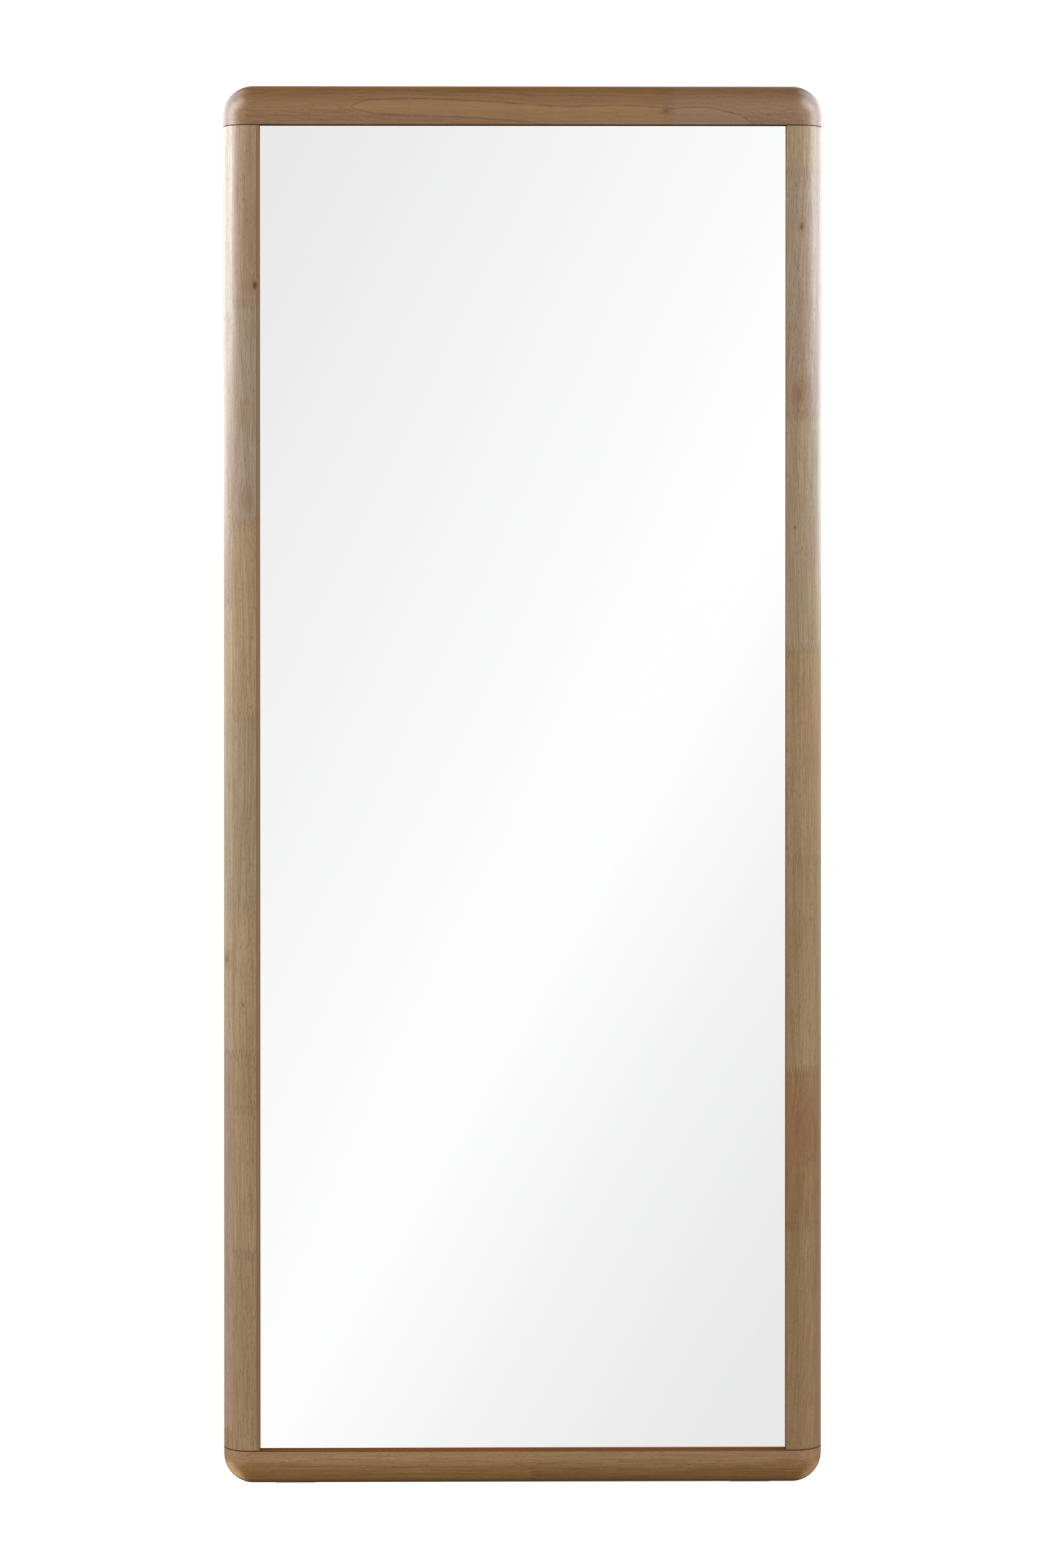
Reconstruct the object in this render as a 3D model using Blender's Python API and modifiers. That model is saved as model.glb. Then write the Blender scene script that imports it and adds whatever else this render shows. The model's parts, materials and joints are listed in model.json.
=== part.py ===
"""Floor mirror: a framed mirror that leans back on a hinged easel leg.

Metres, +Z up. The mirror faces -Y. The origin is on the floor, under the middle of the standing object.

The mirror is modelled upright under the empty "mirror_axes": x across, y from the front face to the back,
z up the face from the bottom rail's underside. That empty leans it back and lifts it onto its pads. The leg
hangs under the empty "leg_axis", whose local x is the hinge axis, and each stay arm under an empty on its
own pivot.
"""

from math import acos, atan2, cos, pi, radians, sin

import bmesh
import bpy
from mathutils import Vector

# Frame
WIDTH = 0.762
HEIGHT = 1.778
DEPTH = 0.050
TOP_RAIL = 0.052  # face widths
BOTTOM_RAIL = 0.047
STILE = 0.0475
ROUND = 0.038  # radius of the outer front edge and of the corners
ROUND_SEGMENTS = 14
GAP = 0.0003  # between pieces that touch

# Standing pose
LEAN = radians(6.0)  # mirror from upright
SPREAD = radians(13.0)  # leg from the mirror's back

# Glass and back board, in rebates cut from behind
LIP = 0.010  # wood in front of the pane
PANE_THICKNESS = 0.004
PANE_OVERLAP = 0.008  # how far the lip covers the pane's edge
PANE_PLAY = 0.001
TAPE_WIDTH = 0.012
SHOULDER = 0.019  # depth of the step that the back board lies on
BOARD_THICKNESS = 0.005
BOARD_OVERLAP = 0.020
BOARD_PLAY = 0.001

# Loose tenons
FRAME_TENON = (0.016, 0.007, 0.034)
FRAME_TENON_Y = 0.0118
FRAME_TENON_SHARE = 0.41  # of the stile's width, from the opening to the tenon's middle
LEG_TENON = (0.030, 0.008, 0.022)
TENON_EASE = 0.0025

# Hinge rail and leg
HINGE_HEIGHT = 1.180  # hinge axis above the bottom rail's underside, along the mirror
HINGE_RAIL = (0.744, 0.020, 0.060)
BUTT_GAP = 0.001  # hinge axis to the wood above it and below it
LEG_X = 0.320
LEG_WIDTH = 0.036
LEG_THICKNESS = 0.019
HEAD_RAIL_HEIGHT = 0.050
FOOT_RAIL_HEIGHT = 0.040
FOOT_RAIL_DROP = 0.990  # hinge axis to the foot rail's top
EASE = 0.0018  # rounding of the leg's and the hinge rail's edges

# Butt hinges
HINGE_X = 0.200
HINGE_WIDTH = 0.060
LEAF_HEIGHT = 0.030
LEAF_THICKNESS = 0.0015
KNUCKLE_RADIUS = 0.003
PIN_RADIUS = 0.0016
MIDDLE_KNUCKLE = 0.020
KNUCKLE_GAP = 0.00015
PIN_PROUD = 0.0012
LEAF_SCREW_X = 0.018

# Slotted stays
STAY_PIVOT_DROP = 0.080  # hinge axis to the pivot screw, along the mirror
STAY_PIVOT_Y = 0.0425
STAY_GUIDE_DROP = 0.240  # hinge axis to the guide screw, along the leg
STAY_THICKNESS = 0.0025
STAY_WIDTH = 0.016
STAY_TO_LEG = 0.001
SLOT_WIDTH = 0.0068
SLOT_PLAY = 0.0012  # past the guide screw's travel, at each end
STUD_RADIUS = 0.0025
STUD_HEAD_RADIUS = 0.005
STUD_HEAD = 0.0022
STUD_COLLAR_RADIUS = 0.0045
STUD_THREAD = 0.018

# Screws: head radius, shank radius, length
BOARD_SCREW = (0.0034, 0.0016, 0.015)
RAIL_SCREW = (0.0042, 0.0021, 0.034)
LEAF_SCREW = (0.0034, 0.0016, 0.014)

# Rubber pads
PAD = 0.002  # thickness of a frame pad at its rear edge
PAD_LENGTH = 0.050
PAD_X = 0.290
PAD_FRONT = 0.0432
PAD_INSET = 0.0006
FOOT_PAD = 0.003
FOOT_PAD_INSET = 0.0025

# Worked out
HALF = WIDTH / 2
SIGHT_X = HALF - STILE  # the opening that shows the glass
BOTTOM_SIGHT = BOTTOM_RAIL
TOP_SIGHT = HEIGHT - TOP_RAIL
PANE_FRONT = LIP + GAP
PANE_BACK = PANE_FRONT + PANE_THICKNESS
BOARD_X = SIGHT_X + BOARD_OVERLAP
BOARD_FRONT = SHOULDER + GAP
BOARD_BACK = BOARD_FRONT + BOARD_THICKNESS
HINGE_RAIL_BACK = DEPTH + GAP + HINGE_RAIL[1]
HINGE_Y = HINGE_RAIL_BACK + GAP + KNUCKLE_RADIUS
LEG_BACK_Y = HINGE_RAIL_BACK - HINGE_Y  # in the leg's axes, like what follows
LEG_FRONT_Y = LEG_BACK_Y - LEG_THICKNESS
LEG_MIDDLE_Y = (LEG_BACK_Y + LEG_FRONT_Y) / 2
LEG_OUTER = LEG_X + LEG_WIDTH / 2
LEG_INNER = LEG_X - LEG_WIDTH / 2
STAY_X = LEG_OUTER + STAY_TO_LEG + STAY_THICKNESS / 2
LIFT = DEPTH * sin(LEAN) + PAD * cos(LEAN)  # mirror_axes above the floor
LEG_TILT = SPREAD - LEAN  # leg from upright

OBJECT_NAME = "floor_mirror"
CUTTERS_NAME = "cutters"
SIDES = {"left": -1, "right": 1}


# Materials


def material(name, colour, roughness, metallic=0.0):
    made = bpy.data.materials.new(name)
    made.use_nodes = True
    shader = made.node_tree.nodes["Principled BSDF"]
    shader.inputs["Base Color"].default_value = (*colour, 1.0)
    shader.inputs["Roughness"].default_value = roughness
    shader.inputs["Metallic"].default_value = metallic
    made.diffuse_color = (*colour, 1.0)
    return made


def make_materials():
    return {
        "wood": material("rubberwood", (0.33, 0.22, 0.13), 0.42),
        "mirror": material("silvered_glass", (0.92, 0.93, 0.93), 0.02, 1.0),
        "board": material("fibreboard", (0.26, 0.17, 0.10), 0.80),
        "steel": material("zinc_steel", (0.62, 0.62, 0.60), 0.32, 1.0),
        "rubber": material("black_rubber", (0.02, 0.02, 0.02), 0.75),
        "foam": material("grey_foam", (0.25, 0.25, 0.26), 0.95),
    }


# Building blocks


class Model:
    """The collections, materials and parents that every piece needs."""

    def __init__(self):
        for old in list(bpy.data.objects):
            bpy.data.objects.remove(old, do_unlink=True)
        self.pieces = self.collection(OBJECT_NAME)
        self.cutters = self.collection(CUTTERS_NAME)
        self.materials = make_materials()

    def collection(self, name):
        made = bpy.data.collections.new(name)
        bpy.context.scene.collection.children.link(made)
        return made

    def empty(self, name, parent=None, location=(0, 0, 0), tilt=0.0):
        made = bpy.data.objects.new(name, None)
        made.empty_display_size = 0.05
        made.parent = parent
        made.location = location
        made.rotation_euler = (tilt, 0, 0)
        self.pieces.objects.link(made)
        return made

    def piece(self, name, mesh, slot, parent, location=(0, 0, 0), rotation=(0, 0, 0)):
        made = bpy.data.objects.new(name, mesh)
        made.parent = parent
        made.location = location
        made.rotation_euler = rotation
        if not mesh.materials:
            mesh.materials.append(self.materials[slot])
        self.pieces.objects.link(made)
        return made

    def cutter(self, name, mesh, parent, location=(0, 0, 0), rotation=(0, 0, 0)):
        made = bpy.data.objects.new(name, mesh)
        made.parent = parent
        made.location = location
        made.rotation_euler = rotation
        made.hide_render = True
        made.display_type = "WIRE"
        self.cutters.objects.link(made)
        return made


def boolean(target, cutter, operation="DIFFERENCE"):
    step = target.modifiers.new(cutter.name, "BOOLEAN")
    step.operation = operation
    step.solver = "EXACT"
    step.object = cutter


def ease(target, width, segments=2):
    """Rounds a piece's square edges."""
    step = target.modifiers.new("ease", "BEVEL")
    step.width = width
    step.segments = segments
    step.limit_method = "ANGLE"
    step.angle_limit = radians(40)


def box_mesh(name, low, high):
    low, high = Vector(low), Vector(high)
    form = bmesh.new()
    bmesh.ops.create_cube(form, size=1.0)
    bmesh.ops.scale(form, vec=high - low, verts=form.verts)
    bmesh.ops.translate(form, vec=(low + high) / 2, verts=form.verts)
    mesh = bpy.data.meshes.new(name)
    form.to_mesh(mesh)
    form.free()
    return mesh


def arc(centre, radius, start, end, segments):
    """Points of an arc in the plane, both ends included."""
    steps = [start + (end - start) * i / segments for i in range(segments + 1)]
    return [(centre[0] + radius * cos(a), centre[1] + radius * sin(a)) for a in steps]


def outline_mesh(name, outer, thickness, holes=()):
    """A flat outline in the local YZ plane, half its thickness to each side along X."""
    curve = bpy.data.curves.new(name, "CURVE")
    curve.dimensions = "2D"
    curve.fill_mode = "BOTH"
    curve.extrude = thickness / 2
    for points in (outer, *holes):
        spline = curve.splines.new("POLY")
        spline.points.add(len(points) - 1)
        for point, (across, up) in zip(spline.points, points):
            point.co = (across, up, 0, 1)
        spline.use_cyclic_u = True
    holder = bpy.data.objects.new(name, curve)
    bpy.context.scene.collection.objects.link(holder)
    bpy.context.view_layer.update()
    solid = holder.evaluated_get(bpy.context.evaluated_depsgraph_get())
    mesh = bpy.data.meshes.new_from_object(solid)
    bpy.data.objects.remove(holder, do_unlink=True)
    bpy.data.curves.remove(curve)
    form = bmesh.new()
    form.from_mesh(mesh)
    bmesh.ops.remove_doubles(form, verts=form.verts, dist=1e-6)
    for vert in form.verts:
        across, up, out = vert.co
        vert.co = (out, across, up)
    bmesh.ops.recalc_face_normals(form, faces=form.faces)
    form.to_mesh(mesh)
    form.free()
    mesh.name = name
    return mesh


def turned(target, steps=12):
    """Turns a profile in the XZ plane around Z."""
    step = target.modifiers.new("turn", "SCREW")
    step.axis = "Z"
    step.angle = 2 * pi
    step.steps = steps
    step.render_steps = steps
    step.use_merge_vertices = True
    step.merge_threshold = 1e-5
    step.use_smooth_shade = True


def profile_mesh(name, points):
    """The open profile of a turned piece, from the axis at its top, down its side, to the axis again."""
    mesh = bpy.data.meshes.new(name)
    verts = [(radius, 0, height) for radius, height in points]
    mesh.from_pydata(verts, [(i, i + 1) for i in range(len(verts) - 1)], [])
    return mesh


def cylinder_mesh(name, radius, length, segments=16):
    """A cylinder along local X, round its middle."""
    form = bmesh.new()
    bmesh.ops.create_cone(
        form, cap_ends=True, segments=segments, radius1=radius, radius2=radius, depth=length
    )
    for vert in form.verts:
        x, y, z = vert.co
        vert.co = (z, x, y)
    mesh = bpy.data.meshes.new(name)
    form.to_mesh(mesh)
    form.free()
    mesh.shade_smooth()
    mesh.set_sharp_from_angle(angle=radians(40))
    return mesh


# Screws

TURNS = {
    "back": (-pi / 2, 0, 0),  # head towards local +Y
    "right": (0, pi / 2, 0),  # head towards local +X
    "left": (0, -pi / 2, 0),  # head towards local -X
}


def screw_meshes(name, size):
    """A countersunk screw, head upwards at z = 0, and the cutter of its hole."""
    head, shank, length = size
    cone = (head - shank) * 1.15
    tip = shank * 2.2
    screw = [(0, 0), (head, 0), (shank, -cone), (shank, tip - length), (0, -length)]
    head, shank, length = head + GAP, shank + GAP, length + GAP
    hole = [(0, 0.004), (head, 0.004), (head, 0), (shank, -cone), (shank, -length), (0, -length)]
    return profile_mesh(name, screw), profile_mesh(name + "_hole", hole)


def drive_screw(model, name, meshes, parent, location, hosts):
    """Puts a screw in place, head towards the back, and cuts its hole in each host."""
    screw_mesh, hole_mesh = meshes
    screw = model.piece(name, screw_mesh, "steel", parent, location, TURNS["back"])
    turned(screw)
    hole = model.cutter(name + "_hole", hole_mesh, parent, location, TURNS["back"])
    turned(hole)
    for host in hosts:
        boolean(host, hole)


# Frame


def outer_form_mesh():
    """The whole frame's outer shape as one slab, rounded at its front edges and corners."""
    mesh = box_mesh("outer_form", (-HALF, 0, 0), (HALF, DEPTH, HEIGHT))
    form = bmesh.new()
    form.from_mesh(mesh)
    rounded = []
    for edge in form.edges:
        a, b = edge.verts[0].co, edge.verts[1].co
        runs_in_depth = abs(a.y - b.y) > DEPTH / 2
        at_front = a.y + b.y < DEPTH / 2
        if runs_in_depth or at_front:
            rounded.append(edge)
    bmesh.ops.bevel(
        form, geom=rounded, offset=ROUND, segments=ROUND_SEGMENTS, profile=0.5, affect="EDGES"
    )
    form.to_mesh(mesh)
    form.free()
    mesh.shade_smooth()
    mesh.set_sharp_from_angle(angle=radians(30))
    return mesh


def opening_mesh(name, grown, front, back):
    """A slab as large as the frame's opening, grown by the same amount on all four sides."""
    low = (-SIGHT_X - grown, front, BOTTOM_SIGHT - grown)
    high = (SIGHT_X + grown, back, TOP_SIGHT + grown)
    return box_mesh(name, low, high)


def make_frame(model, mirror):
    """Rails run the full width. Stiles stand between them."""
    form = outer_form_mesh()
    far = 0.1  # past the frame on every side
    beyond = HALF + far
    stile_low = BOTTOM_SIGHT + GAP / 2
    stile_high = TOP_SIGHT - GAP / 2
    regions = {
        "top_rail": ((-beyond, -far, TOP_SIGHT + GAP / 2), (beyond, far, HEIGHT + far)),
        "bottom_rail": ((-beyond, -far, -far), (beyond, far, BOTTOM_SIGHT - GAP / 2)),
        "left_stile": ((-beyond, -far, stile_low), (-SIGHT_X, far, stile_high)),
        "right_stile": ((SIGHT_X, -far, stile_low), (beyond, far, stile_high)),
    }
    mesh = opening_mesh("pane_rebate", PANE_OVERLAP + PANE_PLAY, LIP, far)
    pane_rebate = model.cutter("pane_rebate", mesh, mirror)
    mesh = opening_mesh("board_rebate", BOARD_OVERLAP, SHOULDER, far)
    board_rebate = model.cutter("board_rebate", mesh, mirror)
    frame = {}
    for name, (low, high) in regions.items():
        member = model.piece(name, form.copy(), "wood", mirror)
        region = model.cutter(name + "_region", box_mesh(name + "_region", low, high), mirror)
        boolean(member, region, "INTERSECT")
        boolean(member, pane_rebate)
        boolean(member, board_rebate)
        frame[name] = member
    return frame


def make_tenon(model, name, size, parent, location, hosts):
    """A loose tenon with rounded edges, and its mortise in each host."""
    half = Vector(size) / 2
    tenon = model.piece(name, box_mesh(name, -half, half), "wood", parent, location)
    ease(tenon, TENON_EASE)
    room = half + Vector((GAP, GAP, GAP))
    mesh = box_mesh(name + "_mortise", -room, room)
    mortise = model.cutter(name + "_mortise", mesh, parent, location)
    ease(mortise, TENON_EASE)
    for host in hosts:
        boolean(host, mortise)


def make_frame_tenons(model, mirror, frame):
    for side, sign in SIDES.items():
        x = sign * (SIGHT_X + STILE * FRAME_TENON_SHARE)
        for level, z in (("top", TOP_SIGHT), ("bottom", BOTTOM_SIGHT)):
            hosts = (frame[level + "_rail"], frame[side + "_stile"])
            make_tenon(
                model, f"{level}_{side}_tenon", FRAME_TENON, mirror, (x, FRAME_TENON_Y, z), hosts
            )


# Glass and back


def make_pane(model, mirror):
    mesh = opening_mesh("mirror_pane", PANE_OVERLAP, PANE_FRONT, PANE_BACK)
    model.piece("mirror_pane", mesh, "mirror", mirror)


def make_tapes(model, mirror):
    """Foam tapes that press the pane forwards, between it and the back board."""
    front, back = PANE_BACK + GAP, BOARD_FRONT - GAP
    inset = PANE_OVERLAP - PANE_PLAY
    low, high = BOTTOM_SIGHT - inset, TOP_SIGHT + inset
    outer = SIGHT_X + inset
    inner = outer - TAPE_WIDTH
    for side, sign in SIDES.items():
        xs = sorted((sign * inner, sign * outer))
        mesh = box_mesh(side + "_tape", (xs[0], front, low), (xs[1], back, high))
        model.piece(side + "_tape", mesh, "foam", mirror)
    reach = inner - GAP
    for level, z in (("bottom", low), ("top", high - TAPE_WIDTH)):
        mesh = box_mesh(level + "_tape", (-reach, front, z), (reach, back, z + TAPE_WIDTH))
        model.piece(level + "_tape", mesh, "foam", mirror)


def make_board(model, mirror, frame):
    """The back board lies on the rebates' shoulder and is screwed to it."""
    mesh = opening_mesh("back_board", BOARD_OVERLAP - BOARD_PLAY, BOARD_FRONT, BOARD_BACK)
    board = model.piece("back_board", mesh, "board", mirror)
    meshes = screw_meshes("board_screw", BOARD_SCREW)
    step = (PANE_OVERLAP + PANE_PLAY + BOARD_OVERLAP) / 2  # opening to the middle of the shoulder
    places = {
        "bottom": (0, BOTTOM_SIGHT - step, "bottom_rail"),
        "top": (0, TOP_SIGHT + step, "top_rail"),
    }
    for side, sign in SIDES.items():
        for level, share in (("low", 0.12), ("middle", 0.50), ("high", 0.88)):
            places[f"{side}_{level}"] = (sign * (SIGHT_X + step), HEIGHT * share, side + "_stile")
    for place, (x, z, member) in places.items():
        hosts = (board, frame[member])
        drive_screw(model, f"board_screw_{place}", meshes, mirror, (x, BOARD_BACK, z), hosts)


# Hinge rail, leg and hinges


def make_hinge_rail(model, mirror, frame):
    length, _, height = HINGE_RAIL
    low = HINGE_HEIGHT + BUTT_GAP
    corners = ((-length / 2, DEPTH + GAP, low), (length / 2, HINGE_RAIL_BACK, low + height))
    mesh = box_mesh("hinge_rail", *corners)
    rail = model.piece("hinge_rail", mesh, "wood", mirror)
    ease(rail, EASE)
    meshes = screw_meshes("rail_screw", RAIL_SCREW)
    x = (BOARD_X + HALF) / 2
    for side, sign in SIDES.items():
        for level, share in (("lower", 0.25), ("upper", 0.75)):
            place = (sign * x, HINGE_RAIL_BACK, low + height * share)
            hosts = (rail, frame[side + "_stile"])
            drive_screw(model, f"rail_screw_{side}_{level}", meshes, mirror, place, hosts)
    return rail


def floor_z(y, pad):
    """Local z, on the standing leg, of the plane that lies pad above the floor."""
    axis_height = LIFT + HINGE_HEIGHT * cos(LEAN) - HINGE_Y * sin(LEAN)
    return -(axis_height - pad + y * sin(LEG_TILT)) / cos(LEG_TILT)


def make_leg(model, leg):
    """Two legs with a head rail and a foot rail between them, hanging from the hinge axis."""
    top = -BUTT_GAP
    front, back = LEG_FRONT_Y, LEG_BACK_Y
    pieces = {}
    outline = [
        (front, floor_z(front, FOOT_PAD + GAP)),
        (back, floor_z(back, FOOT_PAD + GAP)),
        (back, top),
        (front, top),
    ]
    for side, sign in SIDES.items():
        name = side + "_leg"
        mesh = outline_mesh(name, outline, LEG_WIDTH)
        pieces[name] = model.piece(name, mesh, "wood", leg, (sign * LEG_X, 0, 0))
        ease(pieces[name], EASE)
    reach = LEG_INNER - GAP
    foot_top = -FOOT_RAIL_DROP
    spans = {
        "head_rail": (top - HEAD_RAIL_HEIGHT, top),
        "foot_rail": (foot_top - FOOT_RAIL_HEIGHT, foot_top),
    }
    for name, (low, high) in spans.items():
        mesh = box_mesh(name, (-reach, front, low), (reach, back, high))
        pieces[name] = model.piece(name, mesh, "wood", leg)
        ease(pieces[name], EASE)
        for side, sign in SIDES.items():
            place = (sign * LEG_INNER, LEG_MIDDLE_Y, (low + high) / 2)
            hosts = (pieces[name], pieces[side + "_leg"])
            make_tenon(model, f"{name}_{side}_tenon", LEG_TENON, leg, place, hosts)
    return pieces


def leaf_mesh(name):
    """A plate that rises in front of the hinge axis and wraps round the pin, its knuckles not yet cut."""
    front = -KNUCKLE_RADIUS
    back = front + LEAF_THICKNESS
    plate_meets_knuckle = acos(back / KNUCKLE_RADIUS)
    outline = [(front, LEAF_HEIGHT)]
    outline += arc((0, 0), KNUCKLE_RADIUS, -pi, plate_meets_knuckle, 14)
    outline += [(back, LEAF_HEIGHT)]
    bore = arc((0, 0), PIN_RADIUS + GAP, 0, 2 * pi * 15 / 16, 15)
    mesh = outline_mesh(name, outline, HINGE_WIDTH, (bore,))
    mesh.shade_smooth()
    mesh.set_sharp_from_angle(angle=radians(40))
    return mesh


def notch_mesh(name, low, high):
    """The room that one stretch of knuckle takes out of the other leaf."""
    reach = KNUCKLE_RADIUS * 1.5
    return box_mesh(name, (low, -reach, -reach), (high, reach, reach))


def make_hinges(model, mirror, leg, hinge_rail, head_rail):
    """Three-knuckle butt hinges on the rear faces. The frame leaf has the outer knuckles and the pin."""
    inner = MIDDLE_KNUCKLE / 2
    middle_notch = notch_mesh("middle_notch", -inner - KNUCKLE_GAP, inner + KNUCKLE_GAP)
    outer_notches = (
        notch_mesh("outer_notch", -HINGE_WIDTH, KNUCKLE_GAP - inner),
        notch_mesh("outer_notch", inner - KNUCKLE_GAP, HINGE_WIDTH),
    )
    pin_mesh = cylinder_mesh("hinge_pin", PIN_RADIUS, HINGE_WIDTH + 2 * PIN_PROUD)
    screws = screw_meshes("leaf_screw", LEAF_SCREW)
    rise = (LEAF_HEIGHT + KNUCKLE_RADIUS) / 2
    face = LEAF_THICKNESS - KNUCKLE_RADIUS
    for side, sign in SIDES.items():
        x = sign * HINGE_X
        axis = (x, HINGE_Y, HINGE_HEIGHT)
        name = f"{side}_hinge_frame_leaf"
        frame_leaf = model.piece(name, leaf_mesh(name), "steel", mirror, axis)
        boolean(frame_leaf, model.cutter(f"{side}_middle_notch", middle_notch, mirror, axis))
        name = f"{side}_hinge_leg_leaf"
        leg_leaf = model.piece(name, leaf_mesh(name), "steel", leg, (x, 0, 0), (0, pi, 0))
        for number, notch in enumerate(outer_notches):
            boolean(leg_leaf, model.cutter(f"{side}_outer_notch_{number}", notch, leg, (x, 0, 0)))
        model.piece(f"{side}_hinge_pin", pin_mesh, "steel", mirror, axis)
        for end, shift in (("inner", -LEAF_SCREW_X), ("outer", LEAF_SCREW_X)):
            at_x = x + sign * shift
            place = (at_x, HINGE_Y + face, HINGE_HEIGHT + rise)
            hosts = (frame_leaf, hinge_rail)
            drive_screw(model, f"{side}_frame_leaf_screw_{end}", screws, mirror, place, hosts)
            place = (at_x, face, -rise)
            hosts = (leg_leaf, head_rail)
            drive_screw(model, f"{side}_leg_leaf_screw_{end}", screws, leg, place, hosts)


# Stays


def stay_reach(spread):
    """From a stay's pivot to its guide screw, in the mirror's axes, when the leg is open by spread."""
    y, z = LEG_MIDDLE_Y, -STAY_GUIDE_DROP
    guide_y = HINGE_Y + y * cos(spread) - z * sin(spread)
    guide_z = y * sin(spread) + z * cos(spread)
    return Vector((0, guide_y - STAY_PIVOT_Y, guide_z + STAY_PIVOT_DROP))


def stay_angle(spread):
    """Stay arm from straight down the mirror's back."""
    reach = stay_reach(spread)
    return atan2(reach.y, -reach.z)


def stadium(start, end, radius, segments=8):
    """A slot-shaped outline around a vertical centre line in the YZ plane."""
    lower = arc((0, start), radius, pi, 2 * pi, segments)
    upper = arc((0, end), radius, 0, pi, segments)
    return lower + upper


def stay_mesh():
    near = stay_reach(0).length
    far = stay_reach(SPREAD).length
    slot_low, slot_high = -far - SLOT_PLAY, -near + SLOT_PLAY
    slot = stadium(slot_low, slot_high, SLOT_WIDTH / 2)
    hole = arc((0, 0), STUD_RADIUS + GAP, 0, 2 * pi * 15 / 16, 15)
    outer = stadium(slot_low - STAY_WIDTH * 0.1, 0, STAY_WIDTH / 2)
    mesh = outline_mesh("stay_arm", outer, STAY_THICKNESS, (slot, hole))
    mesh.shade_smooth()
    mesh.set_sharp_from_angle(angle=radians(40))
    return mesh


def stud_mesh(name, grip, collar):
    """A shoulder screw, head upwards. Grip is its shoulder, collar the wider stretch down to the wood."""
    root = -STUD_HEAD - grip
    wood = root - collar
    thread = STUD_RADIUS * 0.9
    profile = [(0, 0), (STUD_HEAD_RADIUS * 0.86, 0), (STUD_HEAD_RADIUS, -STUD_HEAD * 0.35)]
    profile += [(STUD_HEAD_RADIUS, -STUD_HEAD), (STUD_RADIUS, -STUD_HEAD), (STUD_RADIUS, root)]
    if collar:
        profile += [(STUD_COLLAR_RADIUS, root), (STUD_COLLAR_RADIUS, wood)]
    profile += [(thread, wood), (thread, wood - STUD_THREAD + thread), (0, wood - STUD_THREAD)]
    return profile_mesh(name, profile)


def make_stays(model, mirror, leg, frame, leg_pieces):
    """Flat slotted arms between stile and leg. The leg's guide screw runs in the slot up to its end."""
    arm = stay_mesh()
    half = STAY_THICKNESS / 2 + GAP
    collar = BOARD_X - GAP - (STAY_X + half)
    pivot_mesh = stud_mesh("stay_pivot", 2 * half, collar)
    guide_mesh = stud_mesh("stay_guide", STAY_X + half - LEG_OUTER, 0)
    bore = cylinder_mesh("stud_bore", STUD_RADIUS + GAP, 2 * (STUD_THREAD + GAP), 12)
    pivot_z = HINGE_HEIGHT - STAY_PIVOT_DROP
    for side, sign in SIDES.items():
        outwards, inwards = ("right", "left") if sign > 0 else ("left", "right")
        place = (sign * STAY_X, STAY_PIVOT_Y, pivot_z)
        axis = model.empty(f"{side}_stay_axis", mirror, place, stay_angle(SPREAD))
        model.piece(f"{side}_stay_arm", arm, "steel", axis)
        place = (sign * (STAY_X - half - STUD_HEAD), STAY_PIVOT_Y, pivot_z)
        pivot = model.piece(f"{side}_stay_pivot", pivot_mesh, "steel", mirror, place, TURNS[inwards])
        turned(pivot, 16)
        place = (sign * BOARD_X, STAY_PIVOT_Y, pivot_z)
        boolean(frame[side + "_stile"], model.cutter(f"{side}_pivot_bore", bore, mirror, place))
        place = (sign * (STAY_X + half + STUD_HEAD), LEG_MIDDLE_Y, -STAY_GUIDE_DROP)
        guide = model.piece(f"{side}_stay_guide", guide_mesh, "steel", leg, place, TURNS[outwards])
        turned(guide, 16)
        place = (sign * LEG_OUTER, LEG_MIDDLE_Y, -STAY_GUIDE_DROP)
        boolean(leg_pieces[side + "_leg"], model.cutter(f"{side}_guide_bore", bore, leg, place))


# Pads


def make_pads(model, mirror, leg):
    """Rubber wedges under the rear of the bottom rail and soles under the legs, all flat on the floor."""
    front, back = PAD_FRONT, DEPTH - PAD_INSET

    def floor_under_frame(y):
        return (y * sin(LEAN) - LIFT) / cos(LEAN)

    wedge = [
        (front, floor_under_frame(front)),
        (back, floor_under_frame(back)),
        (back, -GAP),
        (front, -GAP),
    ]
    front, back = LEG_FRONT_Y + FOOT_PAD_INSET, LEG_BACK_Y - FOOT_PAD_INSET
    sole = [
        (front, floor_z(front, 0)),
        (back, floor_z(back, 0)),
        (back, floor_z(back, FOOT_PAD)),
        (front, floor_z(front, FOOT_PAD)),
    ]
    for side, sign in SIDES.items():
        mesh = outline_mesh("frame_pad", wedge, PAD_LENGTH)
        model.piece(f"{side}_frame_pad", mesh, "rubber", mirror, (sign * PAD_X, 0, 0))
        mesh = outline_mesh("foot_pad", sole, LEG_WIDTH - 2 * FOOT_PAD_INSET)
        model.piece(f"{side}_foot_pad", mesh, "rubber", leg, (sign * LEG_X, 0, 0))


def centre_on_origin(model, mirror):
    """Moves the standing object along Y, so that the origin is under the middle of its box."""
    bpy.context.view_layer.update()
    depsgraph = bpy.context.evaluated_depsgraph_get()
    ys = []
    for piece in model.pieces.objects:
        if piece.type == "MESH":
            solid = piece.evaluated_get(depsgraph)
            ys += [(solid.matrix_world @ vert.co).y for vert in solid.data.vertices]
    mirror.location.y -= (min(ys) + max(ys)) / 2


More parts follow.
